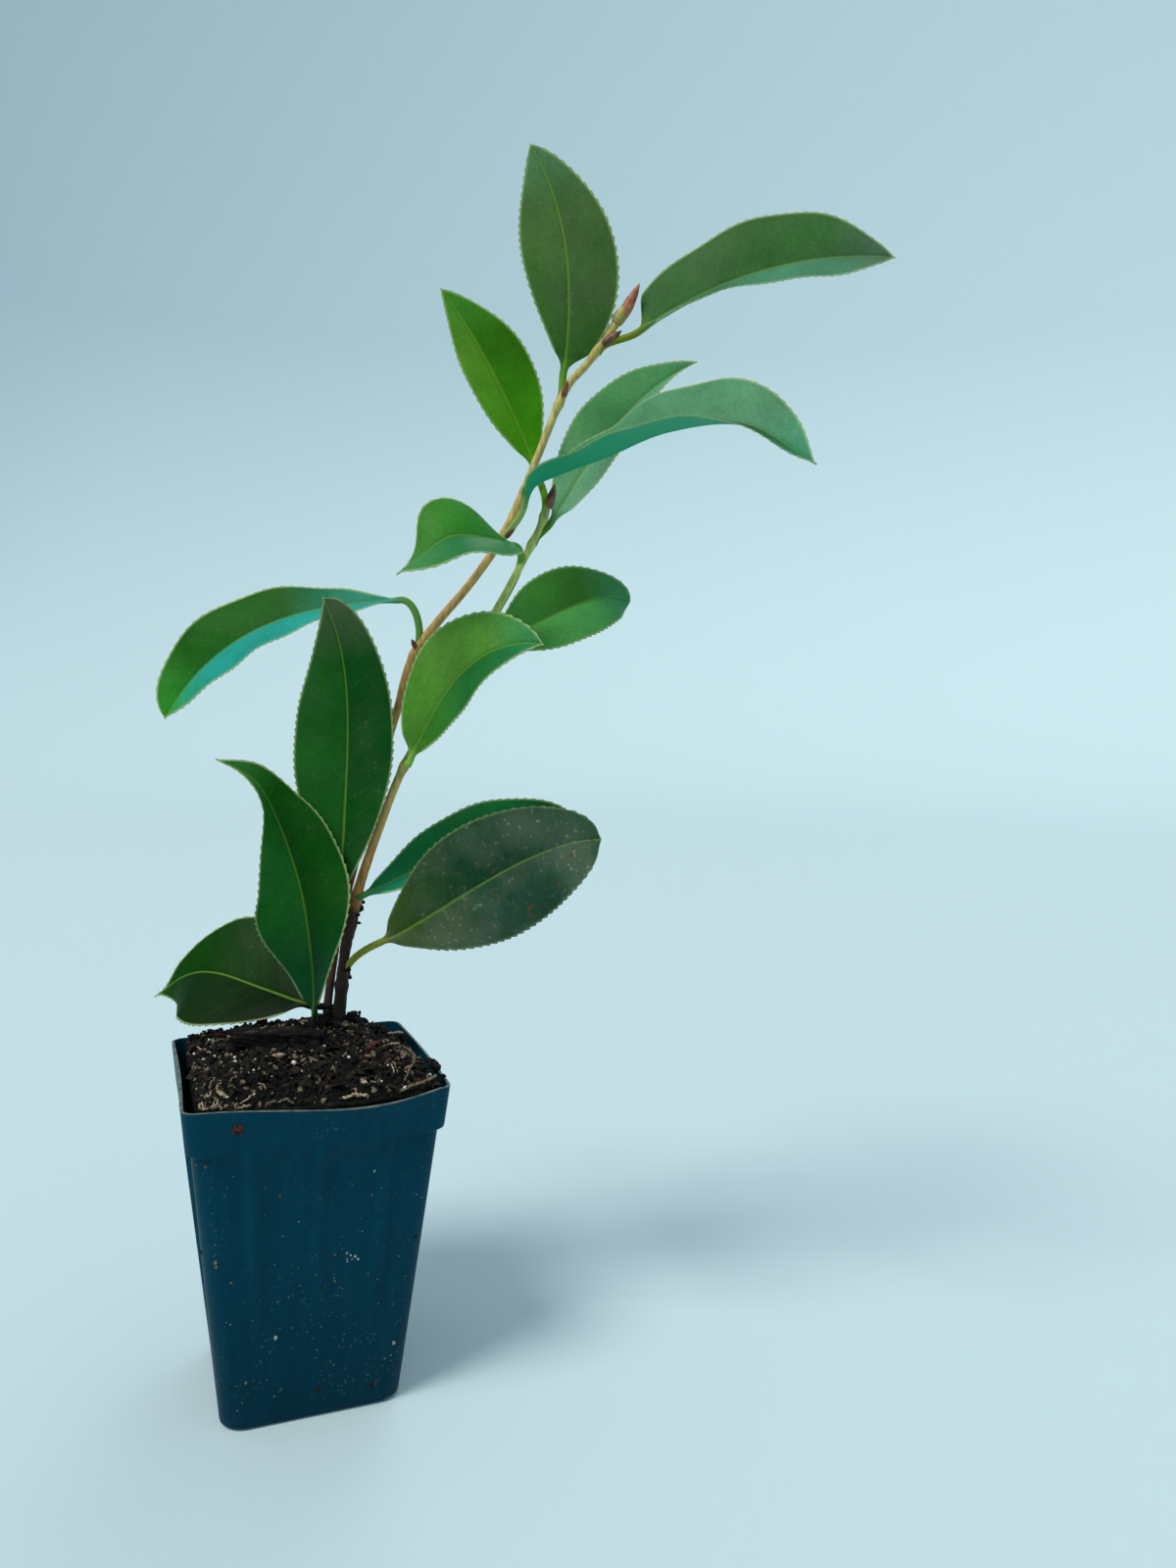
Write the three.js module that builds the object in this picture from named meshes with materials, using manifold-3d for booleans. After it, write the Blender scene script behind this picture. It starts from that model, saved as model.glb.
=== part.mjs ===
// A young camellia in a square nursery pot: two shoots on one foot, fourteen
// leathery leaves, a domed root ball and a thin tapered pot with a lip band.
// Millimetres, +Z up. The origin is at the centre of the pot's flat underside,
// the pot's faces are square to X and Y, and its front face looks along -Y.

import * as THREE from "three";
import { mergeVertices } from "three/addons/utils/BufferGeometryUtils.js";
import Module from "manifold-3d";

const wasm = await Module();
wasm.setup();

// Driving dimensions of the pot
const POT_TOP = 76;
const POT_BOTTOM = 53;
const POT_HEIGHT = 100;
const LIP_HEIGHT = 12.5;
const LIP_STEP = 1.5;
const WALL = 0.8;
const FLOOR = 1.4;
const FOOT_EDGE = 1.2;
const TOP_CORNER = 4;
const BOTTOM_CORNER = 7;
const SLOT_HEIGHT = 16;
const SLOT_WIDTH = 4;
const SLOT_TOP_WIDTH = 1.8;
const LIP_SHOULDER = 1;

// How far the soil pushes the rim's back, left, front and right side out, where
// along the side it does so most, how far the rim sinks there, and how steeply
// the bow fades below the rim.
const SIDE_BOW = [1, -0.6, 4, 1];
const SIDE_PEAK = [0.5, 0.5, 0.65, 0.5];
const RIM_SINK = [0.4, 0, 2, 0.4];
const BOW_FADE = 7;
const SIDE_POINTS = 7;

// Driving dimensions of the root ball and of the stems' common foot
const GAP = 0.3;
const BALL_SLACK = 0.3;
const BALL_CORNER_SLACK = 0.5;
const SOIL_EDGE = 101;
const SOIL_ROUNDING = 2;
const SOIL_CROWN = 108;
const SOIL_FLAT = 5.5;
const SOIL_DOME = 2.2;
const LUMP_HEIGHT = 0.6;
const LUMP_TURN_X = 0.52;
const LUMP_TURN_Y = 0.47;
const HOLLOW_AT = [32, 32];
const HOLLOW_DEPTH = 3;
const HOLLOW_REACH = 9.5;
const FOOT_AT = [11.3, 12];
const FOOT_HEIGHT = 6.5;
const FOOT_FLARE = 4.4;
const FORK_LONG = 4.1;
const FORK_SHORT = 2.3;
const FORK_TURN = -30;

// Driving dimensions that all leaves share
const LEAF_THICKNESS = 1;
const LEAF_STATIONS = 16;
const TIP_HALF_WIDTH = 0.7;
const BLADE_END = 0.995;
const PETIOLE_RADIUS = 1.15;
const PETIOLE_END_RADIUS = 0.3;
const PETIOLE_HANDLE = 0.35;
const PETIOLE_SINK = 0.12;

const DEGREE = Math.PI / 180;

// Each limb: the points that its centreline passes and the radius at each.
const FORK_Z = SOIL_CROWN + GAP + FOOT_HEIGHT + GAP;
const LIMBS = {
  old_wood: {
    color: 0x3b2a20,
    path: [
      [13, 11.2, FORK_Z],
      [14, 9.8, 131],
      [15.6, 8.2, 142],
      [16.2, 7.9, 146],
    ],
    radius: [2, 1.65, 2.2, 2.1],
  },
  front_shoot: {
    color: 0x9a6a3c,
    path: [
      [16.3, 7.8, 146 + GAP],
      [18.5, 6, 156],
      [23, 3, 171.5],
      [30.5, -1.5, 193.5],
      [44.5, -9.5, 222],
      [55.5, -15.5, 242.5],
      [66, -21, 265],
      [70, -23.5, 276],
      [70.8, -24.2, 281],
    ],
    radius: [2.1, 1.6, 1.4, 1.35, 1.25, 1.2, 1.1, 1.2, 0.4],
  },
  leader_shoot: {
    color: 0xa07f50,
    path: [
      [9.4, 13.3, FORK_Z],
      [11.5, 13, 131.5],
      [13, 12, 142],
      [22.5, 4.7, 187],
      [28, 0, 210],
      [33, -5, 229.5],
      [48.5, -13, 251.5],
      [57, -17.5, 266],
      [65, -22, 287],
      [72.5, -27, 308.5],
      [79, -30, 317.5],
      [87.5, -34.5, 331],
      [89, -35.3, 335],
      [93, -37.3, 343],
    ],
    radius: [1.4, 1.25, 1.3, 1.3, 1.3, 1.45, 1.3, 1.35, 1.15, 1.2, 1.1, 1.4, 1.7, 0.5],
  },
};

// Each leaf: the limb and height that it grows from, the points that its midrib
// passes from base to tip, the sides that its upper face turns to on the way
// (azimuth and elevation in degrees), and its left and right halves as seen from
// above with the tip ahead: each its width, how far along it is widest, and how
// drawn in it is towards the base and towards the tip. Last, the rise of the halves
// from the midrib in degrees.
const LEAVES = {
  leaf_low_left: {
    limb: "stem_foot",
    height: 112,
    midrib: [
      [3.5, 15, 114],
      [-10, 28, 117.5],
      [-23.5, 41.5, 120.5],
      [-33, 51.5, 118],
      [-43, 62.5, 108.5],
    ],
    faces: [[-112, 42], [-112, 36]],
    left: [21, 0.5, 0.87, 1.5],
    right: [23, 0.42, 0.87, 2.6],
    rise: 9,
  },
  leaf_front_tall: {
    limb: "stem_foot",
    height: 111,
    midrib: [
      [4, 7, 112],
      [2.5, 3.5, 131.5],
      [-1.5, 0.5, 155.5],
      [-9, 0.5, 178],
      [-15.5, 3, 189],
      [-26, 7.5, 195],
    ],
    faces: [[-150, 0], [-125, 2], [-74, 5], [-42, 8], [-38, 10]],
    left: [17.5, 0.5, 0.87, 1.6],
    right: [15.2, 0.5, 0.87, 1],
    rise: 22,
  },
  leaf_back_tall: {
    limb: "leader_shoot",
    height: 141,
    midrib: [[11.5, 4.5, 150], [13, 3.5, 191], [11.5, -1, 221], [4, -4.5, 244.5]],
    faces: [[-112, 0], [-112, 10]],
    left: [16.5, 0.5, 0.87, 0.9],
    right: [15.5, 0.54, 0.87, 0.45],
    rise: 12,
  },
  leaf_left_arch: {
    limb: "leader_shoot",
    height: 228.5,
    midrib: [[28, -3, 245.5], [4, 10.5, 242], [-20, 19.5, 231], [-40.5, 24, 206.5]],
    faces: [[-112, 50], [-112, 48]],
    left: [16.5, 0.55, 0.87, 0.8],
    right: [15.5, 0.64, 0.7, 0.65],
    rise: 16,
  },
  leaf_mid_front: {
    limb: "front_shoot",
    height: 193,
    midrib: [[30, -9.5, 195], [36, -18.5, 212], [44.5, -34, 226.5], [58, -53, 230.5]],
    faces: [[-140, 18], [-130, 22]],
    left: [15.5, 0.5, 0.8, 0.8],
    right: [14, 0.5, 0.87, 0.9],
    rise: 18,
  },
  leaf_back_right: {
    limb: "front_shoot",
    height: 226,
    midrib: [[56, -12, 232.5], [73, -7.5, 240.5], [93, -1, 249], [110, 4, 250]],
    faces: [[-120, 5], [-120, 5]],
    left: [14, 0.48, 0.87, 0.7],
    right: [14, 0.48, 0.65, 0.5],
    rise: 20,
  },
  leaf_mid_left: {
    limb: "front_shoot",
    height: 237,
    midrib: [
      [58.5, -24, 262],
      [49, -30, 262.5],
      [37, -32.5, 262],
      [28.5, -29.5, 256.5],
      [22.5, -22, 251],
    ],
    faces: [[-100, 45], [-112, 48]],
    left: [14, 0.45, 0.6, 0.9],
    right: [16, 0.5, 1.1, 3],
    rise: 12,
  },
  leaf_long_right: {
    limb: "leader_shoot",
    height: 263,
    midrib: [
      [60.5, -24, 272.5],
      [63, -26.5, 280],
      [69.5, -33.5, 283.5],
      [80, -44, 287.5],
      [93, -57.5, 293],
      [109, -73.5, 293],
      [123, -89, 280.5],
    ],
    faces: [[-112, 76], [-112, 42]],
    left: [17, 0.58, 0.6, 1],
    right: [17, 0.58, 0.6, 0.8],
    rise: 28,
  },
  leaf_behind_right: {
    limb: "front_shoot",
    height: 263,
    midrib: [[71.5, -20, 270.5], [87.5, -13, 293.5], [105, -8, 314], [127.5, -7, 330.5]],
    faces: [[-122, 10], [-122, 10]],
    left: [12, 0.5, 0.87, 0.9],
    right: [8, 0.36, 0.87, 1.6],
    rise: 15,
  },
  leaf_upper_left: {
    limb: "front_shoot",
    height: 271,
    midrib: [[67, -17, 287], [59.5, -13.5, 305.5], [50, -9.5, 324.5], [39, -5, 341.5]],
    faces: [[-90, 5], [-90, 5]],
    left: [11.8, 0.47, 0.87, 0.9],
    right: [12.8, 0.5, 0.87, 0.9],
    rise: 22,
  },
  leaf_top: {
    limb: "leader_shoot",
    height: 305,
    midrib: [[72, -27, 314], [72.5, -29, 336.5], [69.5, -28, 359], [60.5, -25.5, 380]],
    faces: [[-105, 0], [-105, 0]],
    left: [14.2, 0.53, 0.87, 0.8],
    right: [15.4, 0.44, 0.8, 0.8],
    rise: 12,
  },
  leaf_top_right: {
    limb: "leader_shoot",
    height: 320.5,
    midrib: [[92, -37.5, 326.5], [112.5, -49, 339], [134, -61.5, 345.5], [157, -74, 346]],
    faces: [[-112, 52], [-112, 20]],
    left: [17.5, 0.5, 0.27, 0.9],
    right: [14, 0.65, 1, 0.8],
    rise: 22,
  },
  leaf_low_right: {
    limb: "old_wood",
    height: 121,
    midrib: [[23.5, 0, 136.5], [42.5, -13.5, 150.5], [63, -27, 165.5], [82.5, -40, 173]],
    faces: [[-112, 5], [-112, 5]],
    left: [19, 0.52, 0.87, 0.46],
    right: [19.5, 0.56, 0.87, 0.4],
    rise: 8,
  },
  leaf_low_behind: {
    limb: "front_shoot",
    height: 150,
    midrib: [[18, 5, 151], [38, 5.5, 160], [62.5, 4, 171], [88.5, 0, 177]],
    faces: [[-112, 45], [-112, 35]],
    left: [12.2, 0.54, 0.87, 0.7],
    right: [10, 0.5, 0.87, 0.8],
    rise: 12,
  },
};

// A closed surface through rings of points that all have as many points: walls
// between neighbouring rings, and a fan over the first ring and over the last.
function loft(rings) {
  const around = rings[0].length;
  const points = rings.flat();
  const faces = [];
  for (let ring = 0; ring + 1 < rings.length; ring++) {
    for (let i = 0; i < around; i++) {
      const a = ring * around + i;
      const b = ring * around + ((i + 1) % around);
      faces.push(a, b, b + around, a, b + around, a + around);
    }
  }
  [0, rings.length - 1].forEach((ring, end) => {
    const middle = new THREE.Vector3();
    rings[ring].forEach((p) => middle.addScaledVector(p, 1 / around));
    points.push(middle);
    for (let i = 0; i < around; i++) {
      const a = ring * around + i;
      const b = ring * around + ((i + 1) % around);
      if (end === 0) faces.push(b, a, points.length - 1);
      else faces.push(a, b, points.length - 1);
    }
  });
  const geometry = new THREE.BufferGeometry().setFromPoints(points);
  geometry.setIndex(faces);
  return geometry;
}

// The same shape as a solid that can be joined and cut.
function solidOf(geometry) {
  const bare = geometry.clone();
  bare.deleteAttribute("normal");
  bare.deleteAttribute("uv");
  const merged = mergeVertices(bare, 1e-4);
  return new wasm.Manifold(
    new wasm.Mesh({
      numProp: 3,
      vertProperties: merged.attributes.position.array,
      triVerts: new Uint32Array(merged.index.array),
    }),
  );
}

function geometryOf(solid) {
  const mesh = solid.getMesh();
  const geometry = new THREE.BufferGeometry();
  geometry.setAttribute("position", new THREE.BufferAttribute(mesh.vertProperties, 3));
  geometry.setIndex(new THREE.BufferAttribute(mesh.triVerts, 1));
  return geometry;
}

// A square ring with rounded corners, counter-clockwise from above. Its sides bow
// out by a share of SIDE_BOW, and sink by a share of RIM_SINK.
function squareRing(half, corner, z, bow = 0, sink = 0) {
  const ring = [];
  const perCorner = 5;
  for (let side = 0; side < 4; side++) {
    const middle = new THREE.Vector2(half - corner, half - corner);
    for (let i = 0; i < perCorner; i++) {
      const turn = (i / (perCorner - 1)) * 90 * DEGREE;
      const out = new THREE.Vector2(Math.cos(turn), Math.sin(turn)).multiplyScalar(corner);
      ring.push(turned(middle.x + out.x, middle.y + out.y, z, side));
    }
    const peak = Math.log(0.5) / Math.log(SIDE_PEAK[side]);
    for (let i = 1; i <= SIDE_POINTS; i++) {
      const share = i / (SIDE_POINTS + 1);
      const hump = Math.sin(Math.PI * share ** peak);
      const along = middle.x * (1 - 2 * share);
      const out = half + SIDE_BOW[side] * hump * bow;
      ring.push(turned(along, out, z - RIM_SINK[side] * hump * sink, side));
    }
  }
  return ring;
}

// A point turned about the pot's axis by quarters.
function turned(x, y, z, quarters) {
  const axis = new THREE.Vector3(0, 0, 1);
  return new THREE.Vector3(x, y, z).applyAxisAngle(axis, quarters * 90 * DEGREE);
}

// The pot's wall: the outer half width and the corner radius at a height.
const LIP_Z = POT_HEIGHT - LIP_HEIGHT;
const BODY_SLOPE = (POT_TOP / 2 - LIP_STEP - POT_BOTTOM / 2) / POT_HEIGHT;
const bodyHalf = (z) => POT_BOTTOM / 2 + BODY_SLOPE * z;
const cornerAt = (z) => THREE.MathUtils.lerp(BOTTOM_CORNER, TOP_CORNER, z / POT_HEIGHT);
const innerHalf = (z) => bodyHalf(z) + (z > LIP_Z ? LIP_STEP : 0) - WALL;
const bowAt = (z) => (z / POT_HEIGHT) ** BOW_FADE;
const sinkAt = (z) => (z === POT_HEIGHT ? 1 : 0);

function potGeometry() {
  const outer = [
    [bodyHalf(0) - FOOT_EDGE, 0],
    [bodyHalf(FOOT_EDGE), FOOT_EDGE],
    [bodyHalf(LIP_Z - LIP_SHOULDER), LIP_Z - LIP_SHOULDER],
    [bodyHalf(LIP_Z) + LIP_STEP, LIP_Z],
    [POT_TOP / 2, POT_HEIGHT],
  ];
  const inner = [
    [innerHalf(POT_HEIGHT), POT_HEIGHT],
    [innerHalf(LIP_Z + LIP_SHOULDER), LIP_Z + LIP_SHOULDER],
    [innerHalf(LIP_Z - LIP_SHOULDER), LIP_Z - LIP_SHOULDER],
    [innerHalf(FLOOR), FLOOR],
  ];
  const rings = [
    ...outer.map(([half, z]) => squareRing(half, cornerAt(z), z, bowAt(z), sinkAt(z))),
    ...inner.map(([half, z]) => squareRing(half, cornerAt(z) - WALL, z, bowAt(z), sinkAt(z))),
  ];
  const shell = solidOf(loft(rings));
  // A drain slot at the foot of the two side faces, open at its lower end
  const outline = new THREE.Shape([
    new THREE.Vector2(-SLOT_WIDTH / 2, FLOOR),
    new THREE.Vector2(SLOT_WIDTH / 2, FLOOR),
    new THREE.Vector2(SLOT_TOP_WIDTH / 2, SLOT_HEIGHT),
    new THREE.Vector2(-SLOT_TOP_WIDTH / 2, SLOT_HEIGHT),
  ]);
  const through = new THREE.ExtrudeGeometry(outline, {
    depth: POT_TOP,
    bevelEnabled: false,
  });
  through.rotateX(Math.PI / 2).rotateZ(Math.PI / 2).translate(-POT_TOP / 2, 0, 0);
  return geometryOf(shell.subtract(solidOf(through)));
}

// The root ball fills the pot and domes up to the stems' foot.
function rootBallGeometry() {
  const lipFoot = LIP_Z - LIP_SHOULDER;
  const rings = [FLOOR + GAP, lipFoot, SOIL_EDGE - SOIL_ROUNDING].map((z) => {
    const half = innerHalf(Math.min(z, lipFoot)) - GAP - BALL_SLACK;
    return squareRing(half, cornerAt(z) + BALL_CORNER_SLACK, z);
  });
  const rim = rings[rings.length - 1];
  const foot = new THREE.Vector3(...FOOT_AT, SOIL_CROWN);
  const steps = 9;
  for (let step = 0; step <= steps; step++) {
    const share = 1 - step / steps;
    rings.push(
      rim.map((p) => {
        const out = p.clone().sub(foot).setZ(0);
        const reach = Math.max(out.length() * share * 0.98, SOIL_FLAT * (1 - share * 0.2));
        const q = foot.clone().addScaledVector(out.normalize(), reach);
        return q.setZ(soilHeight(q.x, q.y, share));
      }),
    );
  }
  return loft(rings);
}

// The soil's height: a dome round the foot, with lumps that fade out at the foot.
function soilHeight(x, y, share) {
  if (share === 0) return SOIL_CROWN;
  const dome = SOIL_EDGE + (SOIL_CROWN - SOIL_EDGE) * (1 - share ** SOIL_DOME);
  const swell = Math.sin(x * LUMP_TURN_X + 1.3) * Math.cos(y * LUMP_TURN_Y - 0.6);
  const lumps = LUMP_HEIGHT * (swell + Math.sin(x * 0.9 - y * 0.7));
  const fade = THREE.MathUtils.clamp(share * 2.5 - 0.25, 0, 1);
  const away = Math.hypot(x - HOLLOW_AT[0], y - HOLLOW_AT[1]) / HOLLOW_REACH;
  return dome + lumps * fade - HOLLOW_DEPTH * Math.exp(-(away ** 2));
}

// The stems' common foot: flared at its flat cut on the soil, oval at the fork.
function footGeometry() {
  const around = 16;
  const low = SOIL_CROWN + GAP;
  const rings = [0, 0.2, 0.5, 0.8, 1].map((share) => {
    const ease = (1 - share) ** 2;
    const long = FORK_LONG + (FOOT_FLARE - FORK_LONG) * ease;
    const short = FORK_SHORT + (FOOT_FLARE - FORK_SHORT) * ease;
    return Array.from({ length: around }, (_, i) => {
      const angle = (i / around) * 2 * Math.PI;
      const point = new THREE.Vector2(long * Math.cos(angle), short * Math.sin(angle));
      point.rotateAround(new THREE.Vector2(), FORK_TURN * DEGREE);
      return new THREE.Vector3(FOOT_AT[0] + point.x, FOOT_AT[1] + point.y, low + share * FOOT_HEIGHT);
    });
  });
  return loft(rings);
}

// A limb's centreline, and its radius at a share of the way along.
function limbCurve(limb) {
  const points = limb.path.map((p) => new THREE.Vector3(...p));
  return new THREE.CatmullRomCurve3(points, false, "catmullrom", 0.5);
}

function radiusAt(limb, share) {
  const place = share * (limb.radius.length - 1);
  const before = Math.min(Math.floor(place), limb.radius.length - 2);
  return THREE.MathUtils.lerp(limb.radius[before], limb.radius[before + 1], place - before);
}

// A limb as a loft of level rings; extra thickens it, for cutting leaves clear of it.
function limbGeometry(limb, extra = 0) {
  const around = 10;
  const curve = limbCurve(limb);
  const steps = (limb.path.length - 1) * 3;
  const rings = [];
  for (let step = 0; step <= steps; step++) {
    const share = step / steps;
    const at = curve.getPoint(share);
    const level = step === 0 || step === steps;
    const along = level ? new THREE.Vector3(0, 0, 1) : curve.getTangent(share);
    const side = new THREE.Vector3(0, 1, 0).cross(along).normalize();
    const back = along.clone().cross(side);
    const radius = radiusAt(limb, share) + extra;
    rings.push(
      Array.from({ length: around }, (_, i) => {
        const angle = (i / around) * 2 * Math.PI;
        return at
          .clone()
          .addScaledVector(side, radius * Math.cos(angle))
          .addScaledVector(back, radius * Math.sin(angle));
      }),
    );
  }
  return loft(rings);
}

// Where a leaf leaves its limb: the limb's centre at that height and its direction.
function attachment(leaf) {
  if (leaf.limb === "stem_foot") {
    return { at: new THREE.Vector3(...FOOT_AT, leaf.height), along: new THREE.Vector3(0, 0, 1) };
  }
  const curve = limbCurve(LIMBS[leaf.limb]);
  let low = 0;
  let high = 1;
  for (let i = 0; i < 30; i++) {
    const middle = (low + high) / 2;
    if (curve.getPoint(middle).z < leaf.height) low = middle;
    else high = middle;
  }
  return { at: curve.getPoint(low), along: curve.getTangent(low) };
}

// A leaf's midrib: the cubic curve that passes four points at even shares, or a
// smooth one through more of them.
function midribCurve(leaf) {
  const points = leaf.midrib.map((p) => new THREE.Vector3(...p));
  if (points.length > 4) return new THREE.CatmullRomCurve3(points, false, "catmullrom", 0.5);
  const [base, first, second, tip] = points;
  const handle = (a, b, c, d) =>
    a
      .clone()
      .multiplyScalar(-5)
      .addScaledVector(b, 18)
      .addScaledVector(c, -9)
      .addScaledVector(d, 2)
      .divideScalar(6);
  return new THREE.CubicBezierCurve3(
    base,
    handle(base, first, second, tip),
    handle(tip, second, first, base),
    tip,
  );
}

// How wide a half of the blade is at a share of the way along.
function halfWidth([width, belly, baseTaper, tipTaper], t) {
  const body = Math.min(t / BLADE_END, 1);
  const bend = Math.log(0.5) / Math.log(belly);
  const swell = Math.max(Math.sin(Math.PI * body ** bend), 0);
  const share = swell ** THREE.MathUtils.lerp(baseTaper, tipTaper, body);
  return Math.max(width * share, TIP_HALF_WIDTH);
}

// Which way the upper face turns at a share of the way along.
function facing(leaf, t) {
  const turns = leaf.faces.map(directionOf);
  const place = t * (turns.length - 1);
  const before = Math.min(Math.floor(place), turns.length - 2);
  return turns[before].lerp(turns[before + 1], place - before);
}

function directionOf([azimuth, elevation]) {
  return new THREE.Vector3(
    Math.cos(elevation * DEGREE) * Math.cos(azimuth * DEGREE),
    Math.cos(elevation * DEGREE) * Math.sin(azimuth * DEGREE),
    Math.sin(elevation * DEGREE),
  );
}

// The blade: a folded strip of even thickness along the midrib.
function bladeGeometry(leaf) {
  const curve = midribCurve(leaf);
  const rings = [];
  for (let station = 0; station <= LEAF_STATIONS; station++) {
    const t = station / LEAF_STATIONS;
    const at = curve.getPointAt(t);
    const along = curve.getTangentAt(t);
    const up = facing(leaf, t);
    up.addScaledVector(along, -up.dot(along)).normalize();
    const side = up.clone().cross(along);
    const across = [-1, -0.5, 0, 0.5, 1].map((share) => {
      const out = share * halfWidth(share > 0 ? leaf.left : leaf.right, t);
      return at
        .clone()
        .addScaledVector(side, out * Math.cos(leaf.rise * DEGREE))
        .addScaledVector(up, Math.abs(out) * Math.sin(leaf.rise * DEGREE));
    });
    const under = across.map((p) => p.clone().addScaledVector(up, -LEAF_THICKNESS));
    rings.push([...across.reverse(), ...under]);
  }
  return loft(rings);
}

// The petiole: from the limb's centre, along the limb, round into the midrib.
function petioleGeometry(leaf) {
  const { at, along } = attachment(leaf);
  const midrib = midribCurve(leaf);
  const start = midrib.getPoint(0);
  const arriving = midrib.getTangent(0);
  const reach = at.distanceTo(start);
  const stalk = new THREE.CubicBezierCurve3(
    at,
    at.clone().addScaledVector(along, reach * PETIOLE_HANDLE),
    start.clone().addScaledVector(arriving, -reach * PETIOLE_HANDLE),
    start,
  );
  const around = 8;
  const steps = 7;
  const stops = Array.from({ length: steps + 1 }, (_, k) => ({
    centre: stalk.getPoint(k / steps),
    tangent: stalk.getTangent(k / steps),
    radius: PETIOLE_RADIUS,
  }));
  stops.push({
    centre: midrib.getPointAt(PETIOLE_SINK),
    tangent: midrib.getTangentAt(PETIOLE_SINK),
    radius: PETIOLE_END_RADIUS,
  });
  const lift = directionOf(leaf.faces[0]);
  const rings = stops.map(({ centre, tangent, radius }) => {
    const up = lift.clone().addScaledVector(tangent, -lift.dot(tangent)).normalize();
    const side = up.clone().cross(tangent);
    return Array.from({ length: around }, (_, i) => {
      const angle = (i / around) * 2 * Math.PI;
      return centre
        .clone()
        .addScaledVector(side, radius * Math.cos(angle))
        .addScaledVector(up, radius * Math.sin(angle) - LEAF_THICKNESS / 2);
    });
  });
  return loft(rings);
}

// A leaf is its blade and petiole in one, cut a small gap clear of every limb.
function leafGeometry(leaf, clearances) {
  let solid = solidOf(bladeGeometry(leaf)).add(solidOf(petioleGeometry(leaf)));
  for (const clearance of clearances) solid = solid.subtract(clearance);
  const bodies = solid.decompose().sort((a, b) => b.volume() - a.volume());
  return geometryOf(bodies[0]);
}

// The foot grown by the gap, for cutting leaves clear of it
function footClearance() {
  const middle = SOIL_CROWN + GAP + FOOT_HEIGHT / 2;
  const grow = 1 + GAP / FORK_SHORT;
  return footGeometry()
    .translate(-FOOT_AT[0], -FOOT_AT[1], -middle)
    .scale(grow, grow, grow)
    .translate(FOOT_AT[0], FOOT_AT[1], middle);
}

// One named mesh for each real piece
function mesh(name, geometry, color, roughness) {
  const material = new THREE.MeshStandardMaterial({ color, roughness, metalness: 0 });
  const made = new THREE.Mesh(geometry, material);
  made.name = name;
  return made;
}

const plant = new THREE.Group();
plant.add(mesh("pot", potGeometry(), 0x06303f, 0.45));
plant.add(mesh("root_ball", rootBallGeometry(), 0x1d1713, 0.95));
plant.add(mesh("stem_foot", footGeometry(), 0x33251c, 0.85));

const shoots = new THREE.Group();
for (const [name, limb] of Object.entries(LIMBS)) {
  shoots.add(mesh(name, limbGeometry(limb), limb.color, 0.7));
}
plant.add(shoots);

const clearances = [
  solidOf(footClearance()),
  ...Object.values(LIMBS).map((limb) => solidOf(limbGeometry(limb, GAP))),
];
const foliage = new THREE.Group();
for (const [name, leaf] of Object.entries(LEAVES)) {
  foliage.add(mesh(name, leafGeometry(leaf, clearances), 0x1f4a1c, 0.35));
}
plant.add(foliage);

export default plant;
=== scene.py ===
"""A young camellia in a square nursery pot: fourteen leathery leaves on two
leaning shoots, rooted in a bark mix. Pieces are built in millimetres and then
brought to metres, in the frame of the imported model.
"""

import math
from functools import partial

import bmesh
import bpy
import numpy as np
from mathutils import Matrix, Vector, noise


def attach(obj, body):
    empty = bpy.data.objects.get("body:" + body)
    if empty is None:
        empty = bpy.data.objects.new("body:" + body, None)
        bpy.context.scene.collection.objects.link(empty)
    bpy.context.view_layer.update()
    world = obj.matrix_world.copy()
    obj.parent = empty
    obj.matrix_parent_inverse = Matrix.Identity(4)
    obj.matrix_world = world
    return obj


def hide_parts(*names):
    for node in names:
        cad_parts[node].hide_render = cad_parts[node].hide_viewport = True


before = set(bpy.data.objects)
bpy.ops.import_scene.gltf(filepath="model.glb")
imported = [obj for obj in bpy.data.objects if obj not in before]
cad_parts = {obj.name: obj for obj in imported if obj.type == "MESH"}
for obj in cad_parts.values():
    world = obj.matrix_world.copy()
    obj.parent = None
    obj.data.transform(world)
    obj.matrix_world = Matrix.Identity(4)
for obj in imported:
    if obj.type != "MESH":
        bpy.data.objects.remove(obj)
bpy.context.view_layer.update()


# ---- Pot ----
# A square nursery liner of thin dark petrol-blue polypropylene, injection
# moulded: a lip band, three soft ribs on each face, a drain slot low in two
# faces. The damp mix pushes its front side out, so the rim bows and sinks.

POT_TOP, POT_BOTTOM, POT_HEIGHT = 76, 53, 100
LIP_Z, LIP_STEP, WALL, FOOT_EDGE = 87.5, 1.5, 0.8, 1.2
TOP_CORNER, BOTTOM_CORNER = 4, 7
SIDE_BOW = (1, -0.6, 4, 1)
SIDE_PEAK = (0.5, 0.5, 0.65, 0.5)
RIM_SINK = (0.4, 0, 2, 0.4)
BOW_FADE = 7
RIB_OUT, RIB_WIDTH, RIB_FOOT = 1.6, 1.9, 12
SLOT_FOOT, SLOT_TOP, SLOT_FOOT_WIDTH, SLOT_TOP_WIDTH = 1.4, 16, 4, 1.8
SIDE_STEPS, SLOT_STEPS = 88, 3
WALL_LEVELS = (0, 1.2, 1.4, 3, 6, 9, 12, 14, 16, 18, 21, 25, 30, 36, 42, 48, 54, 60, 66, 72)
LIP_LEVELS = (77, 81, 84, 86, 86.8, 87.2, 87.5, 88, 90, 92.5, 95, 97.5, 99.2, 100)


def linear(value):
    """An sRGB hex colour as the linear colour that the shaders take."""
    parts = [((value >> shift) & 255) / 255 for shift in (16, 8, 0)]
    parts = [c / 12.92 if c <= 0.04045 else ((c + 0.055) / 1.055) ** 2.4 for c in parts]
    return (*parts, 1.0)


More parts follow.
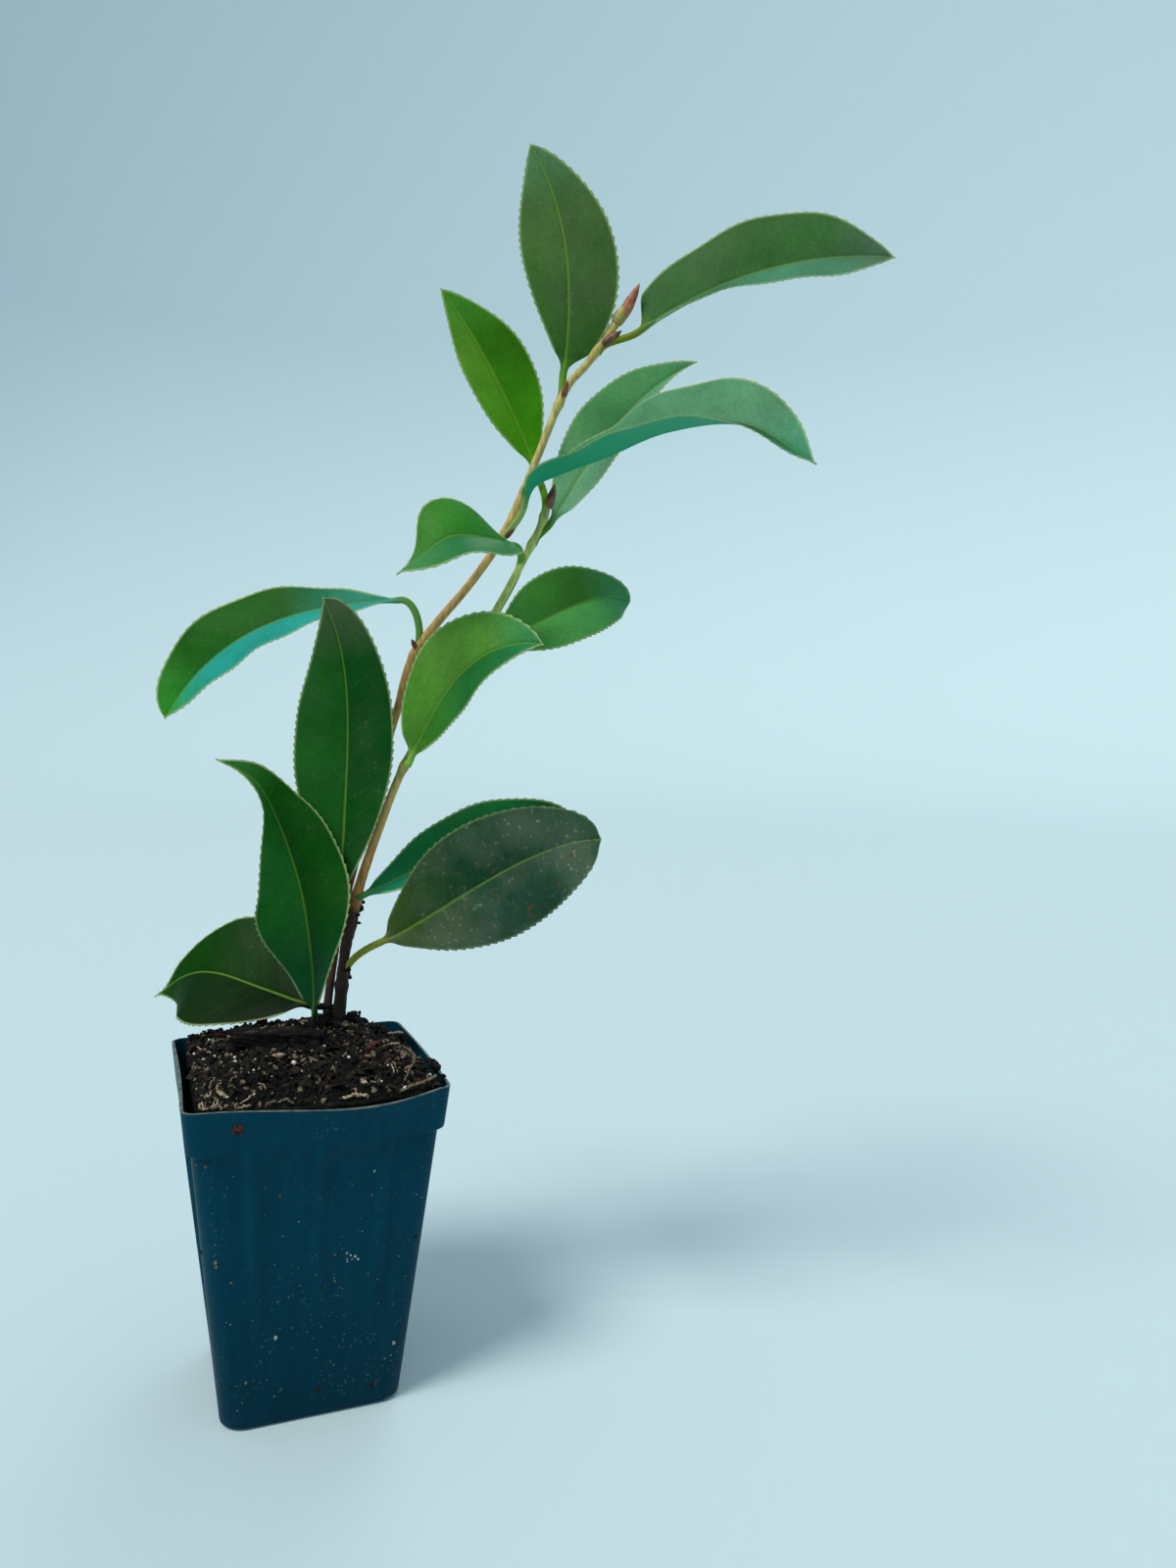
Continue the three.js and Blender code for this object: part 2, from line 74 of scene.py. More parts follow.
def add_node(tree, kind, inputs=(), output=0, stops=None, **settings):
    """Adds a node with its settings and inputs, and returns one of its outputs.

    inputs are values or other nodes' outputs, in order or by name; stops are
    the places and colours of a colour ramp.
    """
    node = tree.nodes.new("ShaderNode" + kind)
    for name, value in settings.items():
        setattr(node, name, value)
    if stops:
        ramp = node.color_ramp.elements
        while len(ramp) < len(stops):
            ramp.new(0.5)
        for element, (place, colour) in zip(ramp, stops):
            element.position = place
            element.color = colour
    pairs = inputs.items() if isinstance(inputs, dict) else enumerate(inputs)
    for name, value in pairs:
        if isinstance(value, bpy.types.NodeSocket):
            tree.links.new(value, node.inputs[name])
        elif value is not None:
            node.inputs[name].default_value = value
    return node.outputs[output]


RGBA = {"output": 2, "data_type": "RGBA"}
MULTIPLY = {**RGBA, "blend_type": "MULTIPLY"}


def finish_material(name, roughness=0.5, ior=1.5, specular=0.5):
    """A new material with its shader's settings, and the way to add nodes to it."""
    material = bpy.data.materials.new(name)
    material.use_nodes = True
    shader = material.node_tree.nodes["Principled BSDF"].inputs
    shader["Roughness"].default_value = roughness
    shader["IOR"].default_value = ior
    shader["Specular IOR Level"].default_value = specular
    return material, partial(add_node, material.node_tree)


def link_finish(material, colour, relief=None, roughness=None):
    """Links a finish's colour, relief and roughness to its shader."""
    tree = material.node_tree
    shader = tree.nodes["Principled BSDF"].inputs
    for socket, output in (("Base Color", colour), ("Normal", relief), ("Roughness", roughness)):
        if output is not None:
            tree.links.new(output, shader[socket])
    return material


def grained_finish(name, dark, light, scale, roughness, relief=None, **shader):
    """Two shades in a fine grain; relief is the grain's strength and depth."""
    material, add = finish_material(name, roughness, **shader)
    place = add("TexCoord", output="Object")
    grain = add("TexNoise", {"Vector": place, "Scale": scale, "Detail": 4})
    colour = add("ValToRGB", [grain], stops=[(0.35, linear(dark)), (0.65, linear(light))])
    if relief:
        relief = add("Bump", {"Strength": relief[0], "Distance": relief[1], "Height": grain})
    return link_finish(material, colour, relief)


def pick(piece, kind, test):
    """Selects the vertices, edges or faces of a piece in edit mode that pass a test."""
    bpy.ops.mesh.select_mode(type=kind)
    bpy.ops.mesh.select_all(action="DESELECT")
    shape = bmesh.from_edit_mesh(piece.data)
    parts = {"VERT": shape.verts, "EDGE": shape.edges, "FACE": shape.faces}[kind]
    for part in parts:
        if test(part):
            part.select_set(True)
    shape.select_flush_mode()
    bmesh.update_edit_mesh(piece.data)


def face_outwards(piece):
    """Turns the faces of a piece outwards."""
    bpy.context.view_layer.objects.active = piece
    bpy.ops.object.mode_set(mode="EDIT")
    bpy.ops.mesh.select_all(action="SELECT")
    bpy.ops.mesh.normals_make_consistent(inside=False)
    bpy.ops.object.mode_set(mode="OBJECT")


def extrude(rise, fit=1.0):
    """Extrudes the selected edges upwards, and scales them about the upright axis."""
    bpy.ops.mesh.extrude_region_move(TRANSFORM_OT_translate={"value": (0, 0, rise)})
    bpy.ops.transform.resize(value=(fit, fit, 1), center_override=(0, 0, 0))


def settle(piece, slot, *nodes):
    """Brings a finished piece to metres, and sets it on the frame."""
    piece.data.transform(Matrix.Scale(0.001, 4))
    piece.data.update()
    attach(piece, "root")
    if nodes:
        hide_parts(*nodes)


def body_half(z):
    """The outer half width of the pot's body at a height."""
    return POT_BOTTOM / 2 + (POT_TOP / 2 - LIP_STEP - POT_BOTTOM / 2) * z / POT_HEIGHT


def wall_half(z):
    """The same with the rounded foot and the lip band."""
    if z == 0:
        return body_half(0) - FOOT_EDGE
    lip = min(max((z - 86.6) / 0.9, 0), 1)
    return body_half(z) + LIP_STEP * math.sqrt(1 - (1 - lip) ** 2)


def slot_width(z):
    """How wide a drain slot is at a height."""
    share = min(max((z - SLOT_FOOT) / (SLOT_TOP - SLOT_FOOT), 0), 1)
    return SLOT_FOOT_WIDTH + (SLOT_TOP_WIDTH - SLOT_FOOT_WIDTH) * share


def wall_point(x, y, z):
    """Where a point of the plain tapered ring goes on the moulded, bowed wall."""
    half = wall_half(z)
    made = BOTTOM_CORNER * half / wall_half(0)
    wanted = BOTTOM_CORNER + (TOP_CORNER - BOTTOM_CORNER) * z / POT_HEIGHT
    reach = half - made
    if abs(x) > reach + 0.001 and abs(y) > reach + 0.001:
        fit = wanted / made
        return [math.copysign(half - wanted + (abs(c) - reach) * fit, c) for c in (x, y)] + [z]
    side = (0 if y > 0 else 2) if abs(y) > abs(x) else (1 if x < 0 else 3)
    along = (x, y, -x, -y)[side] / reach * (half - wanted)
    straight = half - wanted
    column = along / straight * SIDE_STEPS / 2
    if side in (1, 3) and SLOT_FOOT <= z < 20 and abs(column) < 15:
        edge = slot_width(z) / 2
        if abs(column) <= SLOT_STEPS:
            moved = edge * column / SLOT_STEPS
        else:
            share = (abs(column) - SLOT_STEPS) / (15 - SLOT_STEPS)
            far = 15 / (SIDE_STEPS / 2) * straight
            moved = math.copysign(edge + (far - edge) * share, column)
        along += (moved - along) * min(1, (20 - z) / 4)
    share = min(max((1 - along / straight) / 2, 0), 1)
    hump = math.sin(math.pi * share ** (math.log(0.5) / math.log(SIDE_PEAK[side])))
    if side == 2 and 80 < z < 88:
        # The lip's lower edge runs out softly over the middle of the front
        soft = ((z - 80) / 8) ** 2 * (3 - 2 * (z - 80) / 8)
        middle = min(max((27 - along) / 4, 0), 1) * min(max((21 + along) / 1.5, 0), 1)
        half += (body_half(z) + LIP_STEP * soft - half) * middle
    out = half + SIDE_BOW[side] * hump * (z / POT_HEIGHT) ** BOW_FADE
    if RIB_FOOT < z < 87:
        grown = (z - RIB_FOOT) / (LIP_Z - RIB_FOOT) * min((87 - z) / 2, 1)
        for centre in (-0.55, 0, 0.55):
            off = (along - centre * half) / RIB_WIDTH
            power = 10 if centre == -0.55 and off < 0 else 4
            out += RIB_OUT * grown * math.exp(-(off**power))
    if z > LIP_Z:
        z -= RIM_SINK[side] * hump * (z - LIP_Z) / (POT_HEIGHT - LIP_Z)
    return [(along, out, z), (-out, along, z), (-along, -out, z), (out, -along, z)][side]


def in_slot(face):
    """Whether a face of the wall lies in a drain slot."""
    x, y, z = face.calc_center_median()
    return SLOT_FOOT < z < SLOT_TOP and abs(x) > 22 and abs(y) < slot_width(z) / 2


bpy.ops.mesh.primitive_plane_add(size=2 * wall_half(0))
pot = bpy.context.object
pot.name = "pot_shell"
bpy.ops.object.mode_set(mode="EDIT")
bpy.ops.mesh.bevel(offset=BOTTOM_CORNER, segments=6, affect="VERTICES")
bpy.ops.mesh.select_all(action="SELECT")
bpy.ops.mesh.delete(type="ONLY_FACE")
pick(pot, "EDGE", lambda edge: edge.calc_length() > 10)
bpy.ops.mesh.subdivide(number_cuts=SIDE_STEPS - 1)
bpy.ops.mesh.select_all(action="SELECT")
levels = WALL_LEVELS + LIP_LEVELS
for below, above in zip(levels, levels[1:]):
    extrude(above - below, wall_half(above) / wall_half(below))
pick(pot, "VERT", lambda vertex: vertex.co.z < 0.01)
bpy.ops.mesh.edge_face_add()
bpy.ops.object.mode_set(mode="OBJECT")
for vertex in pot.data.vertices:
    level = min(levels, key=lambda z: abs(z - vertex.co.z))
    vertex.co = wall_point(vertex.co.x, vertex.co.y, level)
bpy.ops.object.mode_set(mode="EDIT")
pick(pot, "FACE", in_slot)
bpy.ops.mesh.delete(type="FACE")
bpy.ops.object.mode_set(mode="OBJECT")
face_outwards(pot)
if max(pot.data.polygons, key=lambda face: face.area).normal.z > 0:
    pot.data.flip_normals()

# Moulded polypropylene: satin and dark petrol blue, with faint streaks down the
# draw of the mould, dust caught on it, and a coarser grain than the real one.
pot_plastic, add = finish_material("moulded_polypropylene", ior=1.49, specular=0.05)
place = add("TexCoord", output="Object")
drawn = add("Mapping", {"Vector": place, "Scale": (1, 1, 0.05)})
streaks = add("TexNoise", {"Vector": drawn, "Scale": 420, "Detail": 4})
blues = [(0.3, linear(0x00384A)), (0.55, linear(0x003B4D)), (0.75, linear(0x003F52))]
blue = add("ValToRGB", [streaks], stops=blues)
# Painted shade: the blue is darkened towards the pot's foot
height = add("SeparateXYZ", [place], output="Z")
shade = add("MapRange", [height, 0.005, 0.06, 0.72, 1.0])
blue = add("Mix", {0: 1.0, 6: blue, 7: shade}, **MULTIPLY)
specks = add("TexNoise", {"Vector": place, "Scale": 1300, "Detail": 2})
patches = add("TexNoise", {"Vector": place, "Scale": 45, "Detail": 2})
fine = add("MapRange", [specks, 0.66, 0.74, 0, 0.8])
where = add("MapRange", [patches, 0.48, 0.66, 0.02, 0.8])
dust = add("Math", [fine, where], operation="MULTIPLY")
dusted = add("Mix", {0: dust, 6: blue, 7: linear(0x8C9A98)}, **RGBA)
rough = add("MapRange", [streaks, 0.3, 0.7, 0.38, 0.46])
grain = add("TexNoise", {"Vector": place, "Scale": 900, "Detail": 3})
relief = add("Bump", {"Strength": 0.12, "Distance": 0.0003, "Height": grain})
link_finish(pot_plastic, dusted, relief, rough)

# The rim's and the slots' cut edges, scuffed to a lighter grey
worn_edge = grained_finish(
    "scuffed_polypropylene_edge", 0x263F46, 0x78756A, 300, 0.55, ior=1.49
)
pot.data.materials.append(pot_plastic)
pot.data.materials.append(worn_edge)

shell = pot.modifiers.new("wall", "SOLIDIFY")
shell.thickness = WALL
shell.offset = -1
shell.use_even_offset = True
shell.material_offset_rim = 1
bpy.ops.object.modifier_apply(modifier=shell.name)
edges = pot.modifiers.new("edges", "BEVEL")
edges.width = 0.2
edges.segments = 2
edges.limit_method = "ANGLE"
edges.angle_limit = math.radians(50)
bpy.ops.object.modifier_apply(modifier=edges.name)
bpy.ops.object.shade_smooth_by_angle(angle=math.radians(35))
settle(pot, "pot_plastic", "pot")


# ---- Root ball ----
# A block of moist fine bark mix that took the pot's shape, domed up to the
# stems, with loose bark chips, pale fine roots and white perlite on it.

BALL_HALF, BALL_CORNER, BALL_SHOULDER, BALL_GAP = 33.75, 4.5, 99, 0.6
SOIL_EDGE, SOIL_CROWN, SOIL_DOME = 101, 108, 2.2
HOLLOW_AT, HOLLOW_DEPTH, HOLLOW_REACH = (32, 31), 6.5, 11
FOOT_AT = (11.3, 12)
BED_STEPS = 150
CRUMBS, LUMPS, CHIPS, GRAINS, ROOTS, SPLASHES = 3600, 420, 300, 150, 96, 170
rng = np.random.default_rng(71)


def bed_height(x, y):
    """The mix's height: the source's dome and hollow, with a heap and crumbs."""
    dx, dy = x - FOOT_AT[0], y - FOOT_AT[1]
    spans = [
        (math.copysign(BALL_HALF, d) - at) / d
        for d, at in ((dx, FOOT_AT[0]), (dy, FOOT_AT[1]))
        if abs(d) > 1e-6
    ]
    share = min(1 / min(spans), 1) if spans else 0
    height = SOIL_EDGE + (SOIL_CROWN - SOIL_EDGE) * (1 - share**SOIL_DOME)
    height += 1.8 * math.exp(-((dx + 1) ** 2 + (dy + 1) ** 2) / 90)
    away = math.hypot(x - HOLLOW_AT[0], y - HOLLOW_AT[1]) / HOLLOW_REACH
    height -= HOLLOW_DEPTH * math.exp(-(away**2))
    height += 1.2 * noise.fractal(Vector((x * 0.16, y * 0.16, 3)), 0.9, 2.1, 3)
    for size, deep in ((4.2, 1.5), (1.9, 0.9)):
        away = noise.voronoi(Vector((x / size, y / size, 7)))[0][0]
        height += deep * (0.35 - min(away, 0.8))
    shoulder = min(max((share - 0.965) / 0.035, 0), 1)
    return height * (1 - shoulder) + (BALL_SHOULDER - 0.2) * shoulder


def pushed(x, y, z=100.0):
    """The mix follows the front wall, which it pushes out."""
    if y >= 0:
        return y
    hump = max(math.cos(math.pi * x / 74), 0)
    return y - (1.8 + 4.2 * hump) * (-y / BALL_HALF) ** 6 * min(max((z - 86) / 13, 0), 1)


bpy.ops.mesh.primitive_grid_add(
    x_subdivisions=BED_STEPS, y_subdivisions=BED_STEPS, size=2 * BALL_HALF
)
ball = bpy.context.object
ball.name = "potting_mix_block"
inner = BALL_HALF - BALL_CORNER
for vertex in ball.data.vertices:
    x, y, _ = vertex.co
    over = Vector((max(abs(x) - inner, 0), max(abs(y) - inner, 0)))
    if over.x and over.y:
        over *= max(over.x, over.y) / over.length
        x, y = math.copysign(inner + over.x, x), math.copysign(inner + over.y, y)
    vertex.co = (x, y, bed_height(x, y))
bpy.ops.object.mode_set(mode="EDIT")
bpy.ops.mesh.select_mode(type="EDGE")
pick(ball, "EDGE", lambda edge: edge.is_boundary)
for drop in (0.8, 1.2, 1.2, 2, 3, 5):
    extrude(-drop)
middle, foot = body_half(60) - WALL - BALL_GAP, body_half(1.7) - WALL - BALL_GAP
extrude(-27, middle / BALL_HALF)
extrude(-58.3, foot / middle)
bpy.ops.mesh.edge_face_add()
bpy.ops.object.mode_set(mode="OBJECT")
face_outwards(ball)
for vertex in ball.data.vertices:
    vertex.co.y = pushed(*vertex.co)
    if 84 < vertex.co.z < 99:
        dent = 0.5 * noise.fractal(vertex.co * 0.6, 0.8, 2.2, 3)
        vertex.co += Vector((vertex.co.x, vertex.co.y, 0)).normalized() * dent
    if vertex.co.z < 10:
        vertex.co.z = 1.7
bpy.ops.object.shade_smooth()

# Moist composted bark: near black and dull, with paler fibres and red-brown bits
potting_mix, add = finish_material("moist_bark_mix", 0.9, specular=0.2)
place = add("TexCoord", output="Object")
clods = add("TexNoise", {"Vector": place, "Scale": 260, "Detail": 5})
shades = ((0.38, 0x020202), (0.54, 0x0A0907), (0.66, 0x1E1915), (0.75, 0x5A4E42))
dark = add("ValToRGB", [clods], stops=[(at, linear(shade)) for at, shade in shades])
crumbs = add("TexNoise", {"Vector": place, "Scale": 1100, "Detail": 4})
relief = add("Bump", {"Strength": 0.9, "Distance": 0.0008, "Height": crumbs})
link_finish(potting_mix, dark, relief)
ball.data.materials.append(potting_mix)
settle(ball, "potting_mix", "root_ball")


def joined_piece(name, points, faces, materials, dealt=0, smooth=True):
    """One mesh of many small things; dealt is the material of each face, or of all."""
    mesh = bpy.data.meshes.new(name)
    mesh.from_pydata(np.asarray(points).reshape(-1, 3).tolist(), [], faces)
    dealt = np.broadcast_to(dealt, len(faces)).astype(int).tolist()
    mesh.polygons.foreach_set("material_index", dealt)
    mesh.polygons.foreach_set("use_smooth", [smooth] * len(faces))
    mesh.update()
    piece = bpy.data.objects.new(name, mesh)
    bpy.context.collection.objects.link(piece)
    for material in materials:
        mesh.materials.append(material)
    return piece


def unit(rows):
    """One vector, or rows of them, brought to length 1."""
    return rows / np.linalg.norm(rows, axis=-1, keepdims=True)


def random_turns(count):
    """Random rotation matrices, count of them."""
    w, x, y, z = unit(rng.normal(size=(count, 4))).T
    rows = [
        (1 - 2 * (y * y + z * z), 2 * (x * y - z * w), 2 * (x * z + y * w)),
        (2 * (x * y + z * w), 1 - 2 * (x * x + z * z), 2 * (y * z - x * w)),
        (2 * (x * z - y * w), 2 * (y * z + x * w), 1 - 2 * (x * x + y * y)),
    ]
    return np.moveaxis(np.array(rows), 2, 0)


def flat_turns(count):
    """Turns about the upright, each a little tilted."""
    yaw = rng.random(count) * 2 * math.pi
    tilt, lean = rng.normal(0, 0.35, count), rng.normal(0, 0.35, count)
    c, s = np.cos(yaw), np.sin(yaw)
    rows = [(c, -s, tilt), (s, c, lean), (-tilt, -lean, np.ones(count))]
    return np.moveaxis(np.array(rows), 2, 0)


# What the mix is made of; the loose bits are dealt the first six by number
mineral = partial(grained_finish, relief=(0.6, 0.0003), specular=0.2)
black_bark = mineral("wet_bark_crumb", 0x020202, 0x0D0C0A, 900, 0.75)
brown_bark = mineral("bark_crumb", 0x0B0907, 0x2C251E, 900, 0.85)
tan_bark = mineral("dry_bark_fibre", 0x352C22, 0x8E7C66, 1200, 0.9)
red_bark = mineral("red_bark_chip", 0x1A0E0B, 0x55302A, 900, 0.8)
pale_root = mineral("fine_root", 0x7A6450, 0xCDB89C, 1500, 0.7)
pale_grit = mineral("pale_grit", 0x5E7078, 0xB4BCB6, 1500, 0.8)
perlite = mineral("expanded_perlite", 0xB9B4A8, 0xF4F2EC, 1800, 0.9)
LOOSE_KINDS = [black_bark, brown_bark, tan_bark, red_bark, pale_root, pale_grit]


def loose_bits(
    name, places, sizes, dealt, dent, lie_flat=False, cuts=2, materials=LOOSE_KINDS,
    smooth=False, slot="potting_mix",
):
    """Grains or chips, each dented in its own way and turned freely, flat or not at all."""
    bpy.ops.mesh.primitive_ico_sphere_add(subdivisions=cuts, radius=1)
    grain = bpy.context.object
    points = np.array([vertex.co[:] for vertex in grain.data.vertices])
    faces = np.array([face.vertices[:] for face in grain.data.polygons])
    bpy.data.objects.remove(grain)
    count = len(places)
    shapes = points * (1 + dent * (rng.random((count, len(points), 1)) - 0.5))
    shapes = shapes * np.asarray(sizes)[:, None]
    if lie_flat is not None:
        turns = random_turns(count)
        if lie_flat:
            turns = flat_turns(count)
        shapes = np.einsum("nij,nkj->nki", turns, shapes)
    shapes = shapes + np.asarray(places)[:, None]
    joined = (faces + (np.arange(count) * len(points))[:, None, None]).reshape(-1, 3)
    dealt = np.repeat(np.broadcast_to(dealt, count), len(faces))
    settle(joined_piece(name, shapes, joined.tolist(), materials, dealt, smooth), slot)


def on_bed(x, y, lift=0.0):
    """A place on the mix, kept on the ball, at some height above its surface."""
    x = min(max(x, -BALL_HALF + 0.8), BALL_HALF - 0.8)
    y = min(max(y, -BALL_HALF + 0.8), BALL_HALF - 0.8)
    return (x, pushed(x, y), bed_height(x, y) + lift)


def around(spot, spreads):
    """A random place about a spot."""
    return [at + rng.normal(0, spread) for at, spread in zip(spot, spreads)]


def strewn(count, lift, more=0.0):
    """Random places on the mix, lifted alike, or by up to so much more."""
    return [
        on_bed(*(rng.random(2) * 2 - 1) * BALL_HALF, lift + (more and more * rng.random()))
        for _ in range(count)
    ]


places = strewn(CRUMBS, 0, 0.5)
radii = 0.25 + 0.9 * rng.random(CRUMBS) ** 2.6
bit_sizes = radii[:, None] * (0.55 + 0.9 * rng.random((CRUMBS, 3)))
dealt = rng.choice(4, CRUMBS, p=[0.55, 0.28, 0.15, 0.02])
loose_bits("bark_crumbs", places, bit_sizes, dealt, 0.7, cuts=1)

# Larger lumps: strewn ones, a heap that leans on the stems' foot, some that hang
# over the right rim, and two by the slab
HEAP, RIM_LUMPS, SPILL = 26, 4, 22
RIM_SPOTS = ((36.6, -15.5, 101), (37.2, -18.5, 100.7), (36.2, -29.5, 100.4))
PLACED = HEAP + len(RIM_SPOTS) * RIM_LUMPS + SPILL + 2
places = strewn(LUMPS - PLACED, 0.3)
for _ in range(HEAP):
    places.append([*around((16.4, 9.6), (1.2, 1.1)), 108.6 + 2.8 * rng.random()])
for spot in RIM_SPOTS:
    places += [around(spot, (0.6, 0.9, 0.35)) for _ in range(RIM_LUMPS)]
for _ in range(SPILL):
    places.append([*around((7, 7.5), (2.2, 1.6)), 108.8 + 2.4 * rng.random()])
places += [on_bed(-8.4, 8.5, 1.4), on_bed(-24, 24, 0.6)]
radii = 0.6 + 1.5 * rng.random(LUMPS) ** 2
bit_sizes = radii[:, None] * (0.6 + 0.5 * rng.random((LUMPS, 3)))
bit_sizes[-PLACED:-2] = 0.5 + 0.9 * rng.random((PLACED - 2, 3))
bit_sizes[-2] = (2.7, 1.7, 1.6)
dealt = rng.choice(4, LUMPS, p=[0.62, 0.33, 0.04, 0.01])
dealt[-PLACED:-2] = 0
loose_bits("bark_lumps", places, bit_sizes, dealt, 0.75)

# Bark chips lie flat; the last ones are those that stand out, each with its
# place, lift, size and kind of bark
CHIPS_SEEN = (
    (-10.2, -14.6, 0.9, (3.1, 1.3, 0.7), 4),
    (-30.1, -12.9, 0.7, (1.9, 1.6, 0.8), 3),
    (-26.6, -29.6, 0.8, (1.6, 1.2, 0.6), 4),
    (12.3, -31.4, 0.7, (1.2, 0.7, 0.5), 4),
    (-4.8, -14.7, 0.9, (1.1, 0.9, 0.6), 2),
)
places, bit_sizes = [], []
for _ in range(CHIPS):
    x, y = (rng.random(2) * 2 - 1) * BALL_HALF
    places.append(on_bed(x, y, 0.25 + 0.5 * rng.random()))
    long = 0.7 + 1.9 * rng.random() ** 2
    bit_sizes.append((long, long * (0.3 + 0.4 * rng.random()), 0.25 + 0.35 * rng.random()))
dealt = rng.choice(4, CHIPS, p=[0.42, 0.38, 0.16, 0.04]).tolist()
for x, y, lift, chip_size, kind in CHIPS_SEEN:
    places.append(on_bed(x, y, lift))
    bit_sizes.append(chip_size)
    dealt.append(kind)
loose_bits("bark_chips", places, bit_sizes, dealt, 0.4, lie_flat=True)

# A long flat piece of dark bark lies level across the middle
bpy.ops.mesh.primitive_cube_add(size=1)
slab = bpy.context.object
slab.name = "bark_slab"
bpy.ops.object.mode_set(mode="EDIT")
bpy.ops.transform.resize(value=(28, 7, 4.2), center_override=(0, 0, 0))
bpy.ops.mesh.subdivide(number_cuts=24)
bpy.ops.object.mode_set(mode="OBJECT")
face_outwards(slab)
for vertex in slab.data.vertices:
    ragged = noise.fractal(vertex.co * 0.5, 0.8, 2.2, 4) + 0.5 * noise.noise(vertex.co * 1.7)
    vertex.co += Vector((vertex.co.x * 0.05, vertex.co.y * 0.3, vertex.co.z * 0.3)) * ragged
turned = Matrix.Rotation(math.radians(-21), 4, "Z")
slab.data.transform(Matrix.Translation((-7.8, -0.5, 108.4)) @ turned)
bpy.ops.object.shade_smooth()
slab.data.materials.append(potting_mix)
settle(slab, "potting_mix")

# White grains: strewn ones, and those that stand out, with their radius
grains_seen = [
    (-5.5, -18, 1.0), (-21.5, -8.9, 0.75), (-29.6, 5.1, 0.7), (24, -33, 0.9), (4.9, 5.4, 0.5),
    (-3.6, 11.3, 0.4), (19.2, -9.4, 0.6), (10.8, -17.8, 0.6), (13.4, -29, 0.5), (-26.5, 1, 0.6),
    (20.9, -25.2, 0.45),
]
places = strewn(GRAINS, 0.35)
bit_sizes = (0.16 + 0.4 * rng.random(GRAINS) ** 3)[:, None]
bit_sizes = bit_sizes * (0.8 + 0.4 * rng.random((GRAINS, 3)))
places += [on_bed(x, y, 0.7) for x, y, _ in grains_seen]
bit_sizes = np.vstack([bit_sizes, [(r, r * 0.85, r * 0.8) for *_, r in grains_seen]])
loose_bits("perlite_grains", places, bit_sizes, 0, 0.3, materials=[perlite], smooth=True)


def ring_faces(rows, count):
    """Faces that join rings of points into a skin, closed at both ends."""
    corner = np.arange(rows * count).reshape(rows, count)
    nearer = np.roll(corner, -1, axis=1)
    quads = np.stack([corner[:-1], nearer[:-1], nearer[1:], corner[1:]], -1).reshape(-1, 4)
    return [*quads.tolist(), corner[0][::-1].tolist(), corner[-1].tolist()]


def path_run(path):
    """How far along a path each of its points is."""
    steps = np.linalg.norm(np.diff(path, axis=0), axis=1)
    return np.concatenate([[0], np.cumsum(steps)])


def points_at(wanted, run, path):
    """Points of a path at the wanted distances along it."""
    return np.stack([np.interp(wanted, run, path[:, k]) for k in range(3)], -1)


def tube(points, radii, count):
    """Rings of points along a tube, and the directions in which they lie."""
    points = np.asarray(points, float)
    along = unit(np.gradient(points, axis=0))
    side = np.cross(along[0], (0.31, 0.62, 0.72) if abs(along[0][2]) < 0.9 else (0, 1, 0))
    sides = []
    for direction in along:
        side = unit(side - direction * side.dot(direction))
        sides.append(side)
    sides = np.array(sides)
    backs = np.cross(along, sides)
    angles = np.arange(count) / count * 2 * math.pi
    ring = sides[:, None] * np.cos(angles)[:, None] + backs[:, None] * np.sin(angles)[:, None]
    return points[:, None] + ring * np.broadcast_to(radii, len(points))[:, None, None], ring


# Short fine roots, most of them at the front left, and a few longer strands:
# a pale one and a tan one at the right, a cream one and small loops in front
strands = [
    ([(28.5, -13, 106.2), (31, -19, 105.2), (29.2, -24.5, 104.8), (26.8, -30, 104.4),
      (24, -35, 102.6)], 0.26),
    ([(29.5, -15, 105.6), (30, -21, 105.6), (28, -27, 104.6), (25.4, -32.5, 103.6)], 0.2),
    ([(22, -37.2, 100.2), (26, -36.6, 101.4), (30, -35.8, 101.8), (33.6, -34, 102.8)], 0.5),
    ([(5.5, -38.2, 100.4), (9.2, -38, 101), (12.6, -37.8, 100.4)], 0.42),
    ([(21.5, -14.7, 106.9), (25, -11.3, 106.6), (28.2, -8.2, 105.8)], 0.32),
    ([(27, 2.5, 106), (31, 6, 105.2), (33.3, 9, 103.8)], 0.28),
    ([(-16, -37, 99.8), (-14, -37.4, 101.4), (-12, -37.2, 100.8), (-10.2, -37.3, 101.8),
      (-8, -37.6, 100)], 0.3),
]
for index in range(ROOTS):
    if index < 52:
        x, y = -34 + 13 * rng.random() ** 1.3, -34 + 16 * rng.random() ** 2
    else:
        x, y = (rng.random(2) * 2 - 1) * 33
    turn, length = rng.random() * 2 * math.pi, 1.6 + 3.6 * rng.random() ** 1.5
    path = []
    for step in range(8):
        lift = 0.35 + 0.9 * math.sin(math.pi * step / 7) * rng.random()
        path.append(on_bed(x, y, lift))
        x += length / 7 * math.cos(turn)
        y += length / 7 * math.sin(turn)
        turn += rng.normal(0, 0.5)
    strands.append((path, 0.14 + 0.18 * rng.random()))
ROOT_ROUND = 6
root_points, root_faces, root_kinds = [], [], []
for path, radius in strands:
    if len(path) < 8:
        share = np.linspace(0, len(path) - 1, 26)
        path = points_at(share, range(len(path)), np.array(path))
        path[1:-1] = (path[:-2] + path[1:-1] * 2 + path[2:]) / 4 + rng.normal(0, 0.12, (24, 3))
    rings, _ = tube(path, radius, ROOT_ROUND)
    start = len(root_points)
    root_points += rings.reshape(-1, 3).tolist()
    faces = ring_faces(len(rings), ROOT_ROUND)
    root_faces += [[start + corner for corner in face] for face in faces]
    root_kinds += [int(radius in (0.2, 0.26, 0.5) or rng.random() < 0.4)] * len(faces)
rootlets = joined_piece("fine_roots", root_points, root_faces, [pale_root, tan_bark], root_kinds)
settle(rootlets, "potting_mix")

